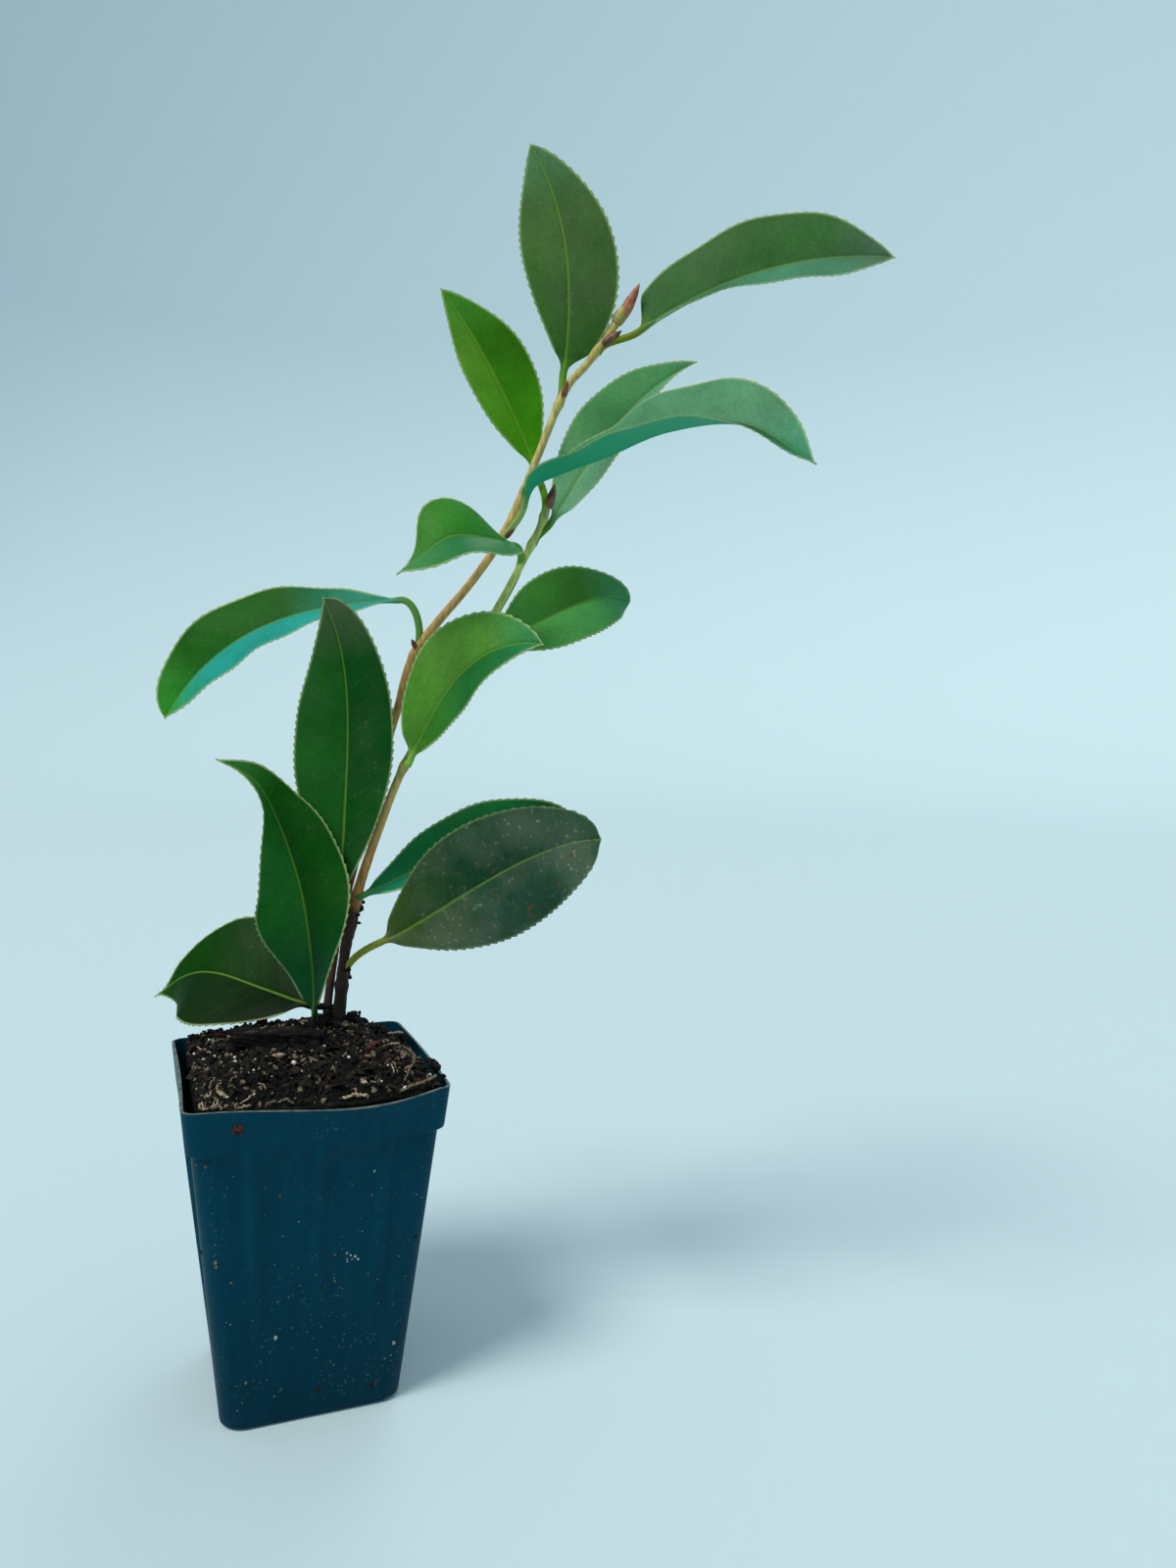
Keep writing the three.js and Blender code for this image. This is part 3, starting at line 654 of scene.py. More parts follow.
# Splashed mix has dried on the pot's front: one red-brown spot on the lip, a
# cluster of pale grit, and single crumbs. Each: its place, radius and kind.
grit = [
    (8.2, 50.6, 0.3, 5), (9.4, 50, 0.45, 5), (7.2, 51.4, 0.3, 5), (10.2, 49, 0.35, 5),
    (8.6, 49.2, 0.3, 5), (7.4, 48.8, 0.25, 5),
    (-26.4, 54.8, 0.45, 2), (-26.2, 53.4, 0.4, 2), (-21.3, 47.9, 0.35, 2),
    (-10.7, 28.3, 0.5, 5), (-9.6, 31, 0.3, 2), (20.4, 32.3, 0.3, 2),
    (23.2, 19.5, 0.5, 5), (0.9, 9.1, 0.75, 1), (16.2, 6.3, 0.7, 1), (16.8, 8, 0.5, 1),
    (28.9, 53.1, 0.55, 1), (-32, 56.6, 0.5, 1),
    (-18.8, 15.7, 0.4, 2), (-23.9, 14.6, 0.4, 1), (-12.8, 75.6, 0.3, 2), (-9.5, 72.1, 0.3, 2),
    (4.2, 51.6, 0.35, 2), (-0.7, 46.3, 0.3, 2),
    (-27.3, 84, 0.4, 2), (13, 76.4, 0.35, 5), (4.4, 43.2, 0.35, 2), (13, 43.8, 0.25, 2),
]


def on_front(x, z):
    """A place on the pot's front, round its corners too."""
    half = body_half(z)
    bend = BOTTOM_CORNER + (TOP_CORNER - BOTTOM_CORNER) * z / POT_HEIGHT
    over = abs(x) - (half - bend)
    if over > 0:
        return (x, -(half - bend + math.sqrt(max(bend**2 - over**2, 0))), z)
    return wall_point(x, -half, z)


places = [on_front(x, z) for x, z, _, _ in grit]
bit_sizes = [(r, 0.25, r * 1.2) for _, _, r, _ in grit]
for _ in range(SPLASHES):
    x, z = (rng.random() * 2 - 1) * 29, 6 + 78 * rng.random()
    places.append(on_front(x, z))
    r = 0.07 + 0.12 * rng.random() ** 2
    bit_sizes.append((r, 0.08, r))
places.append((-23.3, -38.4, 94.6))
bit_sizes.append((1.7, 0.25, 1.5))
dealt = [kind for *_, kind in grit]
dealt += rng.choice([2, 5], SPLASHES, p=[0.3, 0.7]).tolist() + [3]
loose_bits("dried_splashes", places, bit_sizes, dealt, 0.7, lie_flat=None)


# ---- Stems ----
# Two young woody shoots from one flared foot. The front one starts as a short
# old length in dark flaking bark, up to a swollen ring; above it, and on the
# leader, the bark is smooth: red-brown, then tan, then green-cream near the tip.

# Each stem: the points and radii of its centreline; the heights of its nodes, how
# far they swell and how deep the bark is dented; then what its finish takes.
FORK_Z = 115.1
STEMS = {
    "old_wood": (
        [(11.9, 11.4, 107.5), (12.4, 11.4, 111), (13, 11.2, FORK_Z), (14, 9.8, 131),
         (15.6, 8.2, 142), (16.2, 7.9, 147)],
        [3.6, 2.6, 2, 1.65, 2.25, 2.0],
        (121,), 0.5, 0.22, "old_flaking_bark",
        [(108, 0x17100D), (122, 0x2C1D17), (138, 0x35231B), (146, 0x4A2C1C)],
        108, 148, 0.85, 0.9,
    ),
    "front_shoot": (
        [(16.3, 7.8, 145.8), (18.5, 6, 156), (23, 3, 171.5), (30.5, -1.5, 193.5),
         (44.5, -9.5, 222), (55.5, -15.5, 242.5), (66, -21, 265), (69.4, -23.1, 275)],
        [1.95, 1.55, 1.35, 1.3, 1.2, 1.15, 1.1, 1.05],
        (150, 193, 226, 233, 263, 271), 0.38, 0.05, "young_tan_bark",
        [(146, 0x6B3F1F), (152, 0xB87434), (165, 0xCC9048), (185, 0xD0AC60), (205, 0x94A044),
         (235, 0xB4BE60), (262, 0xB0C266), (278, 0xA0A850)],
        145, 282, 0.55, 0.2,
    ),
    "leader_shoot": (
        [(9.8, 13, 109), (9.4, 13.3, FORK_Z), (11.5, 13, 131.5), (13, 12, 142),
         (22.5, 4.7, 187), (28, 0, 210), (33, -5, 229.5), (48.5, -13, 251.5), (57, -17.5, 266),
         (65, -22, 287), (72.5, -27, 308.5), (79, -30, 317.5), (86.8, -34.2, 330)],
        [2.2, 1.4, 1.25, 1.3, 1.3, 1.3, 1.4, 1.25, 1.3, 1.15, 1.2, 1.1, 1.3],
        (141, 228.5, 263, 305, 320.5), 0.38, 0.05, "young_red_brown_bark",
        [(112, 0x2A1A14), (140, 0x643A20), (170, 0xA0622E), (190, 0xBE8040), (212, 0xC6904C),
         (262, 0xCAA25C), (290, 0xD6BE70), (328, 0xC0A850)],
        110, 332, 0.55, 0.2,
    ),
}
STEM_ROUND = 28


def spline(points, radii, step=0.6):
    """Even points and radii along the source's smooth centreline."""
    points, radii = np.asarray(points, float), np.asarray(radii, float)
    ends = np.vstack([2 * points[0] - points[1], points, 2 * points[-1] - points[-2]])
    path, widths = [], []
    for i in range(len(points) - 1):
        a, b, c, d = ends[i : i + 4]
        for t in np.linspace(0, 1, 40, endpoint=False):
            square, cube = 2 * a - 5 * b + 4 * c - d, 3 * b - a - 3 * c + d
            path.append(0.5 * (2 * b + (c - a) * t + square * t**2 + cube * t**3))
            widths.append(radii[i] * (1 - t) + radii[i + 1] * t)
    path.append(points[-1])
    widths.append(radii[-1])
    path = np.array(path)
    run = path_run(path)
    even = np.linspace(0, run[-1], int(run[-1] / step) + 1)
    return points_at(even, run, path), np.interp(even, run, widths)


def bark_finish(name, stops, low, high, rough, flake):
    """Bark whose colour changes up the stem; flake is how coarse and deep it is."""
    material, add = finish_material(name, rough)
    place = add("TexCoord", output="Object")
    height = add("SeparateXYZ", [place], output="Z")
    drift = add("TexNoise", {"Vector": place, "Scale": 160, "Detail": 4})
    drift = add("MapRange", [drift, 0.3, 0.7, -0.006, 0.006])
    height = add("Math", [height, drift], operation="ADD")
    height = add("MapRange", [height, low * 0.001, high * 0.001, 0, 1])
    stops = [((z - low) / (high - low), linear(value)) for z, value in stops]
    colour = add("ValToRGB", [height], stops=stops)
    stretched = add("Mapping", {"Vector": place, "Scale": (1, 1, 0.22)})
    lines = add("TexNoise", {"Vector": stretched, "Scale": 900, "Detail": 4})
    shade = add("MapRange", [lines, 0.35, 0.65, 0.62, 1.12])
    shaded = add("Mix", {0: 1.0, 6: colour, 7: shade}, **MULTIPLY)
    relief = add("Bump", {"Strength": flake, "Distance": 0.0004, "Height": lines})
    return link_finish(material, shaded, relief)


stem_paths = {}
for name, (points, radii, nodes, swell, rough, *bark) in STEMS.items():
    path, widths = spline(points, radii)
    for height in nodes:
        widths = widths + swell * np.exp(-(((path[:, 2] - height) / 1.7) ** 2))
    stem_paths[name] = path
    rings, outward = tube(path, widths, STEM_ROUND)
    for i, ring in enumerate(rings):
        for j, point in enumerate(ring):
            at = Vector((point[0] * 1.1, point[1] * 1.1, point[2] * 0.3))
            lift = noise.fractal(at, 0.8, 2.2, 4) + 0.6 * noise.noise(Vector(point) * 1.4)
            ring[j] = point + outward[i, j] * rough * lift
    faces = ring_faces(len(rings), STEM_ROUND)
    stem = joined_piece(f"{name}_bark", rings, faces, [bark_finish(*bark)])
    if name == "old_wood":
        settle(stem, "old_bark", "old_wood", "stem_foot")
    else:
        settle(stem, "young_bark", name)

# Black crumbs of mix that stick to the swollen ring and to the leaf axil below
spots = [
    (18.3, 7.6, 146.2, 5), (17.6, 6.4, 143.5, 4), (15, 6.9, 125.5, 6), (18.2, 7.9, 149, 4),
    (14.6, 8.8, 139, 3),
]
places, bit_sizes = [], []
for *spot, number in spots:
    for _ in range(number):
        places.append(around(spot, (0.5, 0.5, 0.9)))
        bit_sizes.append(0.3 + 0.5 * rng.random(3))
dealt = rng.choice(2, len(places))
loose_bits("stuck_crumbs", places, bit_sizes, dealt, 0.5, slot="old_bark")


# ---- Leaves ----
# Fourteen thick evergreen leaves, each grown on its own stalk: deep green and
# glossy above, paler beneath, with a light midrib and a finely toothed margin.

# Each leaf: the stem and height it grows from, the points on its midrib, the sides
# that its upper face turns to from base to tip, its left and right half (width,
# where it is widest, taper to base and to tip) and how its halves rise; then the
# colours of its left and right half, foot, underside, tip and stalk, its dust,
# how wavy its margin is, and how far its halves cup.
# The half, foot and underside colours hold painted light besides the green: painted teal
# reflections and sheen, and painted shade on one half, at the foot and beneath.
LEAVES = {
    "leaf_low_left": (
        "foot", 112,
        [(3.5, 15, 114), (-10, 28, 117.5), (-23.5, 41.5, 120.5), (-33, 51.5, 118),
         (-43, 62.5, 108.5)],
        [(-112, 42), (-112, 36)],
        (21, 0.5, 0.87, 1.5), (23, 0.42, 0.87, 2.6), 9,
        (0x042A00, 0x063A00, 0x010C02, 0x1E4A22, 0x124606, 0x0C1008), 0.1, 0.5, 0.03,
    ),
    "leaf_front_tall": (
        "foot", 111,
        [(4, 7, 112), (2.5, 3.5, 131.5), (-1.5, 0.5, 155.5), (-9, 0.5, 178), (-15.5, 3, 189),
         (-26, 7.5, 195)],
        [(-150, 0), (-125, 2), (-74, 5), (-42, 8), (-38, 10)],
        (17.5, 0.5, 0.87, 1.6), (15.2, 0.5, 0.87, 1), 22,
        (0x1E6A22, 0x0A4A06, 0x064230, 0x3A6A40, 0x2A6A2C, 0x080E08), 0.12, 0.4, 0.02,
    ),
    "leaf_back_tall": (
        "leader_shoot", 141,
        [(11.5, 4.5, 150), (13, 3.5, 191), (11.5, -1, 221), (4, -4.5, 244.5)],
        [(-112, 0), (-112, 10)],
        (16.5, 0.5, 0.87, 0.9), (15.5, 0.54, 0.87, 0.45), 12,
        (0x1A5E18, 0x0A4812, 0x0C4A14, 0x3A6A40, 0x4A5A3C, 0x3A4A20), 0.25, 0.4, 0.03,
    ),
    "leaf_left_arch": (
        "leader_shoot", 228.5,
        [(28, -3, 245.5), (4, 10.5, 242), (-20, 19.5, 231), (-40.5, 24, 206.5)],
        [(-112, 50), (-112, 48)],
        (16.5, 0.55, 0.87, 0.8), (15.5, 0.64, 0.7, 0.65), 16,
        (0x22988A, 0x0E5603, 0x2A9C88, 0x5A8E5A, 0x328A2A, 0x5A8A3C), 0.06, 0.5, 0.02,
    ),
    "leaf_mid_front": (
        "front_shoot", 193,
        [(30, -9.5, 195), (36, -18.5, 212), (44.5, -34, 226.5), (58, -53, 230.5)],
        [(-140, 18), (-130, 22)],
        (15.5, 0.5, 0.8, 0.8), (14, 0.5, 0.87, 0.9), 18,
        (0x5A9032, 0x1A682A, 0x468124, 0x5E9A60, 0x2C7E50, 0x8EBE4E), 0.12, 0.3, 0.04,
    ),
    "leaf_back_right": (
        "front_shoot", 226,
        [(56, -12, 232.5), (73, -7.5, 240.5), (93, -1, 249), (110, 4, 250)],
        [(-120, 5), (-120, 5)],
        (14, 0.48, 0.87, 0.7), (14, 0.48, 0.65, 0.5), 20,
        (0x386E22, 0x56A656, 0x468E3A, 0x5E9A60, 0x3E8C5E, 0x6E9A3C), 0.2, 0.4, 0.03,
    ),
    "leaf_mid_left": (
        "front_shoot", 233,
        [(58.5, -24, 262), (49, -30, 262.5), (37, -32.5, 262), (28.5, -29.5, 256.5),
         (22.5, -22, 251)],
        [(-100, 45), (-112, 48)],
        (14, 0.45, 0.6, 0.9), (16, 0.5, 1.1, 3), 12,
        (0x2A7242, 0x3A7C10, 0x227B3A, 0x5E9A60, 0x4A8A42, 0x5E8E34), 0.14, 0.5, 0.04,
    ),
    "leaf_long_right": (
        "leader_shoot", 263,
        [(60.5, -24, 272.5), (63, -26.5, 280), (69.5, -33.5, 283.5), (80, -44, 287.5),
         (93, -57.5, 293), (109, -73.5, 293), (123, -89, 280.5)],
        [(-112, 76), (-112, 42)],
        (17, 0.58, 0.6, 1), (17, 0.58, 0.6, 0.8), 28,
        (0x528E66, 0x0C5420, 0x18661C, 0x26966A, 0x3C8868, 0x94AC60), 0.2, 0.5, 0.02,
    ),
    "leaf_behind_right": (
        "front_shoot", 263,
        [(71.5, -20, 270.5), (87.5, -13, 293.5), (105, -8, 314), (127.5, -7, 330.5)],
        [(-122, 10), (-122, 10)],
        (12, 0.5, 0.87, 0.9), (8, 0.36, 0.87, 1.6), 15,
        (0x58985C, 0x62A27C, 0x7AB08A, 0x86AE86, 0x4A9060, 0x4A7A28), 0.2, 0.3, 0.03,
    ),
    "leaf_upper_left": (
        "front_shoot", 271,
        [(67, -17, 287), (59.5, -13.5, 305.5), (50, -9.5, 324.5), (39, -5, 341.5)],
        [(-90, 5), (-90, 5)],
        (11.8, 0.47, 0.87, 0.9), (12.8, 0.5, 0.87, 0.9), 22,
        (0x5A9026, 0x326E08, 0x429206, 0x5E9A60, 0x408628, 0x6AA329), 0.04, 0.3, 0.03,
    ),
    "leaf_top": (
        "leader_shoot", 305,
        [(72, -27, 314), (72.5, -29, 336.5), (69.5, -28, 359), (60.5, -25.5, 380)],
        [(-105, 0), (-105, 0)],
        (14.2, 0.53, 0.87, 0.8), (15.4, 0.44, 0.8, 0.8), 12,
        (0x4E7234, 0x42622E, 0x275A12, 0x5E8A60, 0x517F52, 0x6A9830), 0.3, 0.3, 0.02,
    ),
    "leaf_top_right": (
        "leader_shoot", 320.5,
        [(92, -37.5, 326.5), (112.5, -49, 339), (134, -61.5, 345.5), (157, -74, 346)],
        [(-112, 52), (-112, 20)],
        (17.5, 0.5, 0.27, 0.9), (14, 0.65, 1, 0.8), 22,
        (0x34652C, 0x448262, 0x275E24, 0x6A9A70, 0x54705A, 0x73801C), 0.2, 0.4, 0.03,
    ),
    "leaf_low_right": (
        "old_wood", 121,
        [(23.5, 0, 136.5), (42.5, -13.5, 150.5), (63, -27, 165.5), (82.5, -40, 173)],
        [(-112, 5), (-112, 5)],
        (19, 0.52, 0.87, 0.46), (19.5, 0.56, 0.87, 0.4), 8,
        (0x1A4228, 0x244432, 0x42581F, 0x5A7A50, 0x2E5238, 0x9AA03C), 1, 0.5, 0.05,
    ),
    "leaf_low_behind": (
        "front_shoot", 150,
        [(18, 5, 151), (38, 5.5, 160), (62.5, 4, 171), (88.5, 0, 177)],
        [(-112, 45), (-112, 35)],
        (12.2, 0.54, 0.87, 0.7), (10, 0.5, 0.87, 0.8), 12,
        (0x167036, 0x0A7A6A, 0x137D50, 0x4E8A5E, 0x0A4A24, 0x4A8A3C), 0.08, 0.4, 0.03,
    ),
}
STALK_RADIUS, STALK_HANDLE, TOOTH, TOOTH_DEPTH = 1.15, 0.35, 2.5, 0.7
VEIN_GAP, VEIN_LEAN = 7.0, 0.75
HALF_ACROSS = (
    0, 0.018, 0.045, 0.085, 0.14, 0.21, 0.29, 0.38, 0.47, 0.56, 0.65, 0.74, 0.82, 0.89, 0.945,
    0.98, 1,
)


def direction(azimuth, elevation):
    """The unit vector at a heading and a height, in degrees."""
    a, e = math.radians(azimuth), math.radians(elevation)
    return np.array([math.cos(e) * math.cos(a), math.cos(e) * math.sin(a), math.sin(e)])


def bezier(a, b, c, d, t):
    """Points of a cubic between a and d."""
    t = np.asarray(t)[:, None]
    return a * (1 - t) ** 3 + 3 * b * t * (1 - t) ** 2 + 3 * c * t**2 * (1 - t) + d * t**3


def eased(x):
    """0 to 1 with a soft start and end."""
    x = np.clip(x, 0, 1)
    return x * x * (3 - 2 * x)


def half_width(half, t):
    """How wide a half of the blade is along the leaf: the source's rule."""
    width, belly, base_taper, tip_taper = half
    body = np.clip(t / 0.995, 0, 1)
    swell = np.clip(np.sin(math.pi * body ** (math.log(0.5) / math.log(belly))), 0, 1)
    return np.maximum(width * swell ** (base_taper + (tip_taper - base_taper) * body), 0.25)


def midrib_line(points):
    """Fine points along a midrib: a cubic through four points, smooth through more."""
    if len(points) > 4:
        return spline(points, np.zeros(len(points)), 0.1)[0]
    b, p1, p2, e = (np.array(p, float) for p in points)
    first = (-5 * b + 18 * p1 - 9 * p2 + 2 * e) / 6
    second = (-5 * e + 18 * p2 - 9 * p1 + 2 * b) / 6
    return bezier(b, first, second, e, np.linspace(0, 1, 600))


def leaf_finish(name, left, right, foot, under, tip, stalk_colour, length, dust, shift):
    """A leathery evergreen leaf: the cuticle's gloss, veins, margin and dust.

    It reads leaf_place, which each leaf mesh carries: millimetres along the
    midrib, millimetres out from it, and millimetres in from the margin.
    """
    material, add = finish_material(name, ior=1.45, specular=0.08)
    spot = add("Attribute", output="Vector", attribute_name="leaf_place")
    upper = add("Attribute", output="Fac", attribute_name="leaf_upper")
    run, out, margin = (add("SeparateXYZ", [spot], output=axis) for axis in "XYZ")
    place = add("TexCoord", output="Object")
    # The halves' and the foot's colours carry painted light with the green: painted teal
    # reflections and sheen, and painted shade
    halves = add("MapRange", [out, -0.8, 0.8, 0, 1])
    base = add("Mix", {0: halves, 6: linear(right), 7: linear(left)}, **RGBA)
    low = add("MapRange", [run, 6, 38, 0.75, 0])
    end = add("MapRange", [run, length - 20, length - 4, 0, 0.85])
    for share, colour in ((low, foot), (end, tip)):
        base = add("Mix", {0: share, 6: base, 7: linear(colour)}, **RGBA)
    # Cells shade the green lightly, larger clouds more
    clouds = add("TexNoise", {"Vector": place, "Scale": 70, "Detail": 3})
    clouds = add("MapRange", [clouds, 0.3, 0.7, 0.85, 1.15])
    cells = add("TexNoise", {"Vector": place, "Scale": 900, "Detail": 3})
    cells = add("MapRange", [cells, 0.3, 0.7, 0.88, 1.12])
    mottle = add("Math", [clouds, cells], operation="MULTIPLY")
    base = add("Mix", {0: 1.0, 6: base, 7: mottle}, **MULTIPLY)
    # Side veins leave the midrib at even steps, lean forward and fade at the margin
    away = add("Math", [out], operation="ABSOLUTE")
    phase = add("Math", [away, -VEIN_LEAN, run], operation="MULTIPLY_ADD")
    steps = (("MULTIPLY", 1 / VEIN_GAP), ("FRACT", None), ("SUBTRACT", 0.5), ("ABSOLUTE", None))
    for operation, value in steps:
        phase = add("Math", [phase, value], operation=operation)
    vein = add("MapRange", [phase, 0.01, 0.06, 0.035, 0])
    fade = add("MapRange", [margin, 1.5, 5, 0, 1])
    vein = add("Math", [vein, fade], operation="MULTIPLY")
    # The midrib is about a millimetre wide and narrows towards the tip
    rib = add("Math", [run, -0.004, 0.62], operation="MULTIPLY_ADD")
    rib = add("Math", [away, rib], operation="DIVIDE")
    rib = add("MapRange", [rib, 0.4, 1.0, 0.6, 0])
    # Dust and dried splashes, in specks drawn a little larger than life
    shifted = add("Mapping", {"Vector": place, "Location": (shift, 0, 0)})
    specks = add("TexNoise", {"Vector": shifted, "Scale": 700, "Detail": 3})
    specks = add("MapRange", [specks, 0.63, 0.7, 0, 1])
    film = add("TexNoise", {"Vector": shifted, "Scale": 55, "Detail": 5})
    film = add("MapRange", [film, 0.42, 0.68, 0, 1])
    soiled = add("Math", [film, 0.8, 0.2], operation="MULTIPLY_ADD")
    soiled = add("Math", [specks, soiled], operation="MULTIPLY")
    soiled = add("Math", [film, 0.3, soiled], operation="MULTIPLY_ADD")
    soiled = add("Math", [soiled, dust * 0.6], operation="MULTIPLY")
    layers = [(vein, 0x6F9440), (rib, 0x6E9430), (soiled, 0x9C9A8A)]
    if dust > 0.9:
        grit = add("TexNoise", {"Vector": shifted, "Scale": 480, "Detail": 2})
        layers.append((add("MapRange", [grit, 0.66, 0.7, 0, 0.8]), 0x5A3E2E))
    for share, colour in layers:
        base = add("Mix", {0: share, 6: base, 7: linear(colour)}, **RGBA)
    # The underside is dull, its colour holding painted teal bounce light and painted shade;
    # both faces have a pale rim, partly the margin's own colour and partly a painted
    # highlight; the stalk is yellow-green
    base = add("Mix", {0: upper, 6: linear(under), 7: base}, **RGBA)
    rim = add("MapRange", [margin, 0.3, 0.9, 0.8 - 0.55 * dust, 0])
    stalk = add("MapRange", [run, -2, 5, 1, 0])
    for share, colour in ((rim, 0xA4B87A), (stalk, stalk_colour)):
        base = add("Mix", {0: share, 6: base, 7: linear(colour)}, **RGBA)
    rough = add("MapRange", [upper, 0, 1, 0.6, 0.48])
    rough = add("Math", [soiled, 0.6, rough], operation="MULTIPLY_ADD")
    height = add("Math", [vein, -1.5, cells], operation="MULTIPLY_ADD")
    relief = add("Bump", {"Strength": 0.35, "Distance": 0.0002, "Height": height})
    return link_finish(material, base, relief, rough)


def leaf_rings(limb, height, midrib, faces, left, right, rise, wave, cup):
    """The stalk and blade as rings of points, with leaf_place and leaf_upper."""
    curve = midrib_line(midrib)
    length = path_run(curve)
    t = np.linspace(0, 1, int(length[-1] / (TOOTH / 5)) + 1)
    run = t * length[-1]
    centre = points_at(run, length, curve)
    along = unit(np.gradient(centre, axis=0))
    turns = np.array([direction(*face) for face in faces])
    up = points_at(t, np.linspace(0, 1, len(turns)), turns)
    up = unit(up - along * np.sum(up * along, axis=1, keepdims=True))
    side = np.cross(up, along)

    # The stalk, from the stem's middle round into the midrib
    if limb == "foot":
        start, rising = np.array([*FOOT_AT, height]), np.array([0, 0, 1.0])
    else:
        path = stem_paths[limb]
        i = int(np.searchsorted(path[:, 2], height))
        start, rising = path[i], unit(path[i + 1] - path[i - 1])
    base = centre[0]
    reach = np.linalg.norm(base - start)
    stalk_steps = int(reach / 0.5)
    u = np.linspace(0, 1, stalk_steps, endpoint=False)
    handle = reach * STALK_HANDLE
    stalk = bezier(start, start + rising * handle, base - along[0] * handle, base, u)
    stalk_along = unit(np.gradient(stalk, axis=0))
    stalk_up = unit(turns[0] - stalk_along * (stalk_along @ turns[0])[:, None])
    stalk_side = np.cross(stalk_up, stalk_along)

    # Across the blade: over its upper face, and back under it
    across = np.array(HALF_ACROSS)
    v = np.concatenate([-across[:0:-1], across])
    n = len(v)
    turn = math.pi * (np.arange(n) + 0.5) / n
    round_side = np.concatenate([np.cos(turn), -np.cos(turn)])
    round_up = np.concatenate([np.sin(turn), -np.sin(turn)])
    v = np.concatenate([v[::-1], v])
    top = np.concatenate([np.ones(n), np.zeros(n)])

    half = np.where(v > 0, half_width(left, t)[:, None], half_width(right, t)[:, None])
    tooth = (run / TOOTH) % 1.0 - 0.5
    toothed = TOOTH_DEPTH * tooth * eased((t - 0.12) / 0.1) * eased((0.985 - t) / 0.03)
    spread = v * half + np.sign(v) * (np.abs(v) > 0.999) * toothed[:, None]
    slope = math.radians(rise)
    bent = np.sqrt(v**2 + 0.006) - math.sqrt(0.006)
    arch = 4 * np.abs(v) * (1 - np.abs(v))
    veins = np.cos(2 * math.pi * (run[:, None] - VEIN_LEAN * np.abs(spread)) / VEIN_GAP)
    ripple = np.sin(2 * math.pi * run[:, None] / 23 + np.where(v > 0, 0.6, 3.1) + length[-1])
    lift = half * (bent * math.sin(slope) + cup * arch)
    lift += (wave * ripple * v**2 - 0.03 * veins * arch) * eased(half / 8)
    lift -= 0.28 * np.exp(-((spread / 0.55) ** 2)) * top
    ridge = 0.8 * np.exp(-((spread / 0.6) ** 2)) * (1 - 0.7 * t)[:, None]
    lift -= (0.42 - 0.2 * v**2 + ridge) * (1 - top)

    # The stalk runs into the blade over its first millimetres
    radius = (STALK_RADIUS - 0.4 * eased(run / 12))[:, None]
    blend = eased(run / 7)[:, None]
    sideways = spread * math.cos(slope) * blend + radius * round_side * (1 - blend)
    lift = lift * blend + (radius * round_up * 0.9 - 0.35) * (1 - blend)
    blade = centre[:, None] + side[:, None] * sideways[..., None] + up[:, None] * lift[..., None]
    flare = STALK_RADIUS * (1 + 0.35 * eased(1 - u * reach / 3))[:, None]
    stem = stalk[:, None] + stalk_side[:, None] * (flare * round_side)[..., None]
    stem = stem + stalk_up[:, None] * (flare * round_up * 0.9 - 0.35)[..., None]
    rings = np.concatenate([stem, blade])

    # What the finish reads at each point
    runs = np.concatenate([(u - 1) * reach, run])[:, None] * np.ones(2 * n)
    outs = np.concatenate([np.tile(round_side * STALK_RADIUS, (stalk_steps, 1)), sideways])
    inner = half * (1 - np.abs(v)) + 6 * (1 - blend)
    margins = np.concatenate([np.full((stalk_steps, 2 * n), 6.0), inner])
    shown = np.clip(round_up + 0.5, 0, 1)
    uppers = np.concatenate([np.tile(shown, (stalk_steps, 1)), np.tile(top, (len(t), 1))])
    return rings, np.stack([runs, outs, margins], -1), uppers


for index, (name, leaf) in enumerate(LEAVES.items()):
    *shape, colours, dust, wave, cup = leaf
    rings, spots_on, uppers = leaf_rings(*shape, wave, cup)
    length = spots_on[..., 0].max()
    finish = leaf_finish(f"leathery_{name}", *colours, length, dust, index * 0.37)
    blade = joined_piece(f"{name}_blade", rings, ring_faces(*rings.shape[:2]), [finish])
    face_outwards(blade)
    for label, kind, field, values in (
        ("leaf_place", "FLOAT_VECTOR", "vector", spots_on),
        ("leaf_upper", "FLOAT", "value", uppers),
    ):
        attribute = blade.data.attributes.new(label, kind, "POINT")
        attribute.data.foreach_set(field, values.reshape(-1).astype(np.float32))
    settle(blade, "leaf_green", name)


# ---- Buds ----
# Scaly resting buds: a long orange-pink one ends the leader, a brown one the
# front shoot, and small red-brown ones sit in the axils of the upper leaves.

BUD_ROUND, BUD_RINGS, BUD_SCALES = 24, 34, 5


def bud(name, foot, tip, radius, material):
    """A pointed bud of overlapping scales, each a step out over the next."""
    foot, tip = np.array(foot, float), np.array(tip, float)
    length = np.linalg.norm(tip - foot)
    axis = unit(tip - foot)
    side = unit(np.cross(axis, (0, 1, 0.2)))
    back = np.cross(axis, side)
    points = []
    for row in range(BUD_RINGS + 1):
        share = row / BUD_RINGS
        body = math.sin(math.pi * min(0.12 + 0.88 * share, 1) ** 0.8) ** 0.75 * radius
        for column in range(BUD_ROUND):
            angle = column / BUD_ROUND * 2 * math.pi
            step = 0
            for scale in range(BUD_SCALES):
                apart = abs((angle - scale * 2.4 + math.pi) % (2 * math.pi) - math.pi)
                if share < (0.3 + 0.15 * scale) * (1 - (apart / 1.9) ** 2):
                    step = max(step, 0.16 * (1 - 0.12 * scale))
            reach = max(body + step * radius * min(1, (1 - share) * 4), 0.04)
            outward = side * math.cos(angle) + back * math.sin(angle)
            points.append(foot + axis * length * share + outward * reach)
    piece = joined_piece(name, points, ring_faces(BUD_RINGS + 1, BUD_ROUND), [material])
    face_outwards(piece)
    settle(piece, "young_bark")
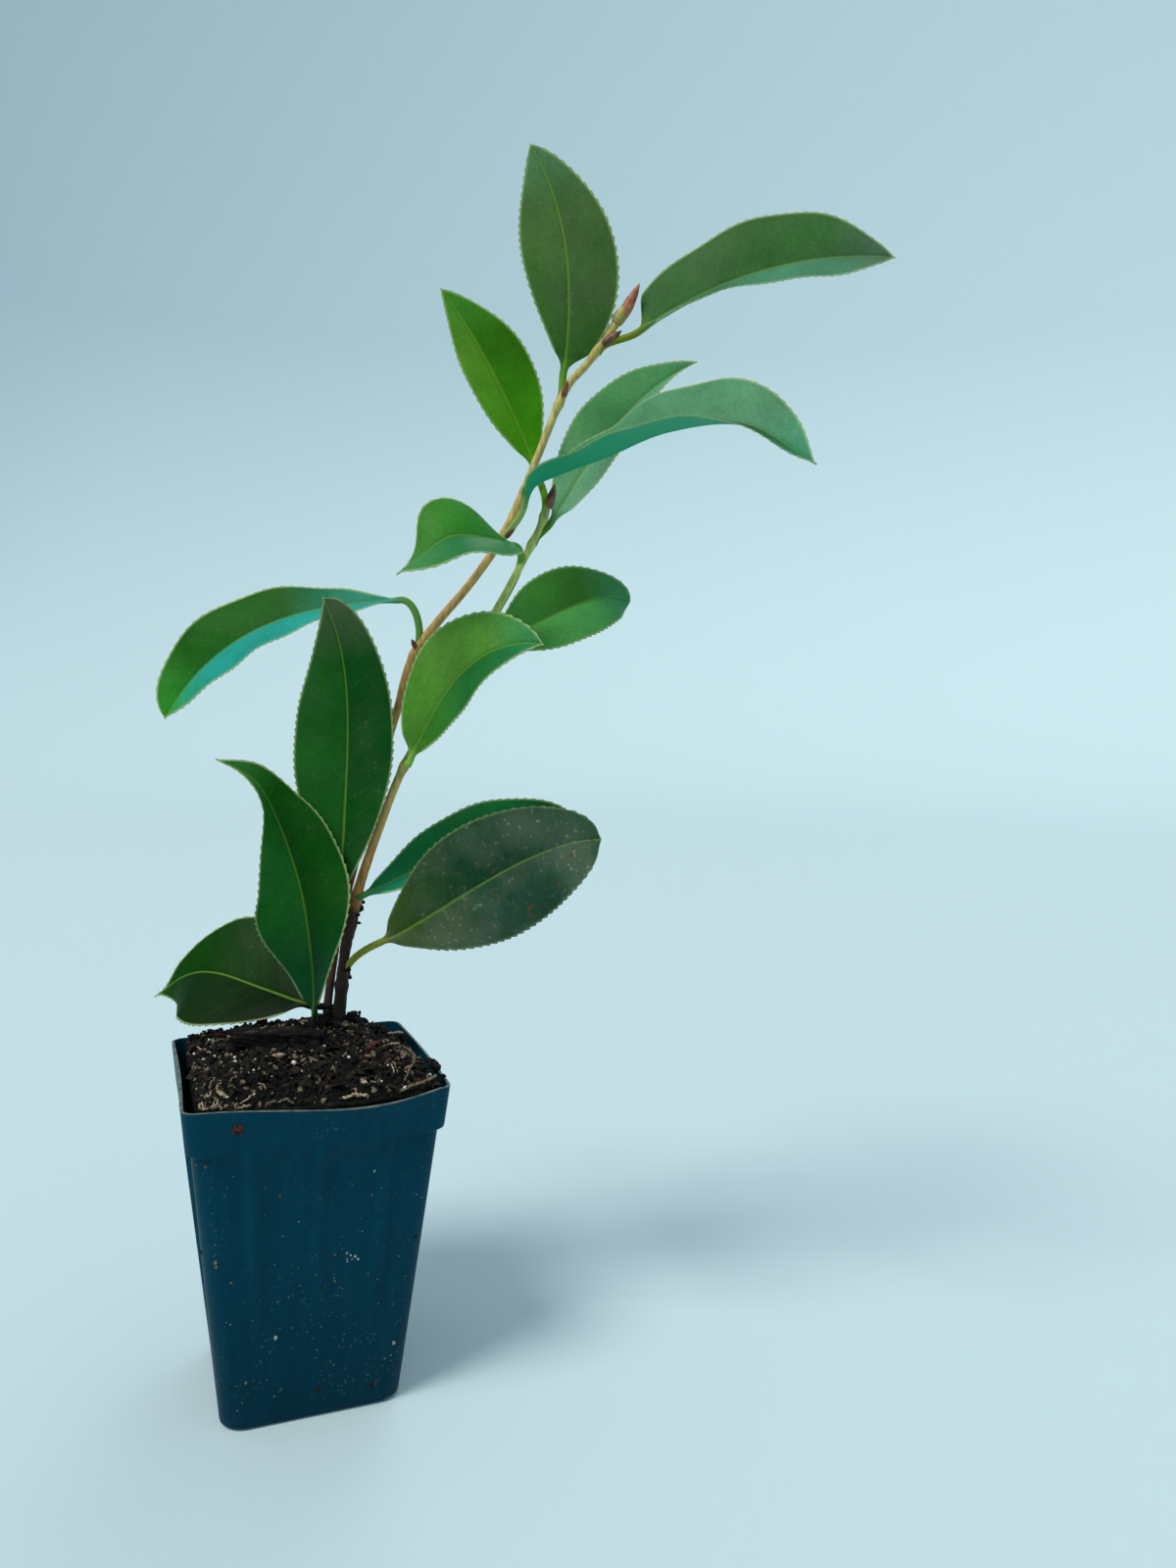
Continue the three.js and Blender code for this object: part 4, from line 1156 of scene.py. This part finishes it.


# Waxy scales in two shades, in a fine grain
waxy = partial(grained_finish, scale=420, roughness=0.45, relief=(0.3, 0.0002))
orange_scale = waxy("orange_bud_scale", 0x8E4A26, 0xC07A50)
brown_scale = waxy("brown_bud_scale", 0x4A2818, 0x8A5236)
green_scale = waxy("green_bud_scale", 0x8A8A38, 0xB0A050)
bud("leader_end_bud", (87.4, -34.5, 330), (92.2, -37, 340.6), 1.55, orange_scale)
bud("leader_bud_collar", (86, -33.8, 328.6), (89.2, -35.6, 335), 1.75, green_scale)
bud("front_end_bud", (69.4, -23.1, 274), (71, -24.3, 281.5), 1.25, brown_scale)
bud("top_right_axil_bud", (82.6, -32.4, 322.5), (87.4, -35.4, 326.5), 1.2, brown_scale)
bud("top_axil_bud", (71.8, -28, 306.8), (72.6, -29.2, 311.6), 0.8, brown_scale)
bud("left_arch_axil_bud", (32.4, -6.1, 230.5), (30.8, -7.5, 233), 0.75, brown_scale)
bud("long_right_axil_bud", (57.2, -19.3, 264.6), (60.6, -22.2, 270.4), 0.8, brown_scale)


# ---- Floor, light and camera ----
# A plain pale floor that curves up into a low round backdrop, under soft studio
# light: a broad soft key from high on the left, and a weak one from behind.

FLOOR_RADIUS, BEND_RADIUS, BOWL_TOP = 2.2, 1.6, 2.8
bpy.ops.mesh.primitive_circle_add(vertices=96, radius=FLOOR_RADIUS)
floor = bpy.context.object
floor.name = "floor"
bpy.ops.object.mode_set(mode="EDIT")
bpy.ops.mesh.select_all(action="SELECT")
radius, height = FLOOR_RADIUS, 0
bowl = [
    (FLOOR_RADIUS + BEND_RADIUS * math.sin(a), BEND_RADIUS * (1 - math.cos(a)))
    for a in np.linspace(0.15, 1.5, 10)
]
for wide, high in [*bowl, (FLOOR_RADIUS + BEND_RADIUS, BOWL_TOP)]:
    extrude(high - height, wide / radius)
    radius, height = wide, high
pick(floor, "VERT", lambda vertex: vertex.co.z < 0.001)
bpy.ops.mesh.edge_face_add()
bpy.ops.mesh.select_all(action="SELECT")
bpy.ops.mesh.normals_make_consistent(inside=True)
bpy.ops.object.mode_set(mode="OBJECT")
bpy.ops.object.shade_smooth_by_angle(angle=math.radians(30))
pale, _ = finish_material("pale_floor", 0.9, specular=0.2)
pale.node_tree.nodes["Principled BSDF"].inputs["Base Color"].default_value = linear(0xC6DCE4)
floor.data.materials.append(pale)

world = bpy.data.worlds.new("studio")
world.use_nodes = True
sky = world.node_tree.nodes["Background"].inputs
sky["Color"].default_value = linear(0xE6F0F4)
sky["Strength"].default_value = 0.5
bpy.context.scene.world = world


def soft_light(name, azimuth, elevation, spread, strength, colour):
    """A far light, spread over an angle as a large soft box is."""
    light = bpy.data.lights.new(name, "SUN")
    light.angle = math.radians(spread)
    light.energy = strength
    light.color = linear(colour)[:3]
    lamp = bpy.data.objects.new(name, light)
    bpy.context.collection.objects.link(lamp)
    lamp.rotation_euler = Vector(direction(azimuth, elevation)).to_track_quat("Z", "Y").to_euler()


soft_light("key", -156, 54, 22, 2.1, 0xFFFAF2)
soft_light("back", 60, 40, 30, 0.5, 0xF4FAFF)

YAW, PITCH, ROLL = math.radians(22.0), math.radians(3.7), math.radians(1.3)
level = Vector((math.cos(YAW), -math.sin(YAW), 0))
forward = Vector((math.sin(YAW), math.cos(YAW), 0))
ahead = forward * math.cos(PITCH) - Vector((0, 0, math.sin(PITCH)))
right = level * math.cos(ROLL) + level.cross(ahead) * math.sin(ROLL)
lens = bpy.data.cameras.new("camera")
lens.sensor_fit = "VERTICAL"
lens.sensor_height = 36
lens.lens = 26
lens.clip_start = 0.01
camera = bpy.data.objects.new("camera", lens)
bpy.context.collection.objects.link(camera)
turned = Matrix((right, right.cross(ahead), -ahead)).transposed().to_4x4()
camera.matrix_world = Matrix.Translation((-0.050, -0.3565, 0.212)) @ turned
bpy.context.scene.camera = camera
bpy.context.scene.view_settings.view_transform = "Standard"
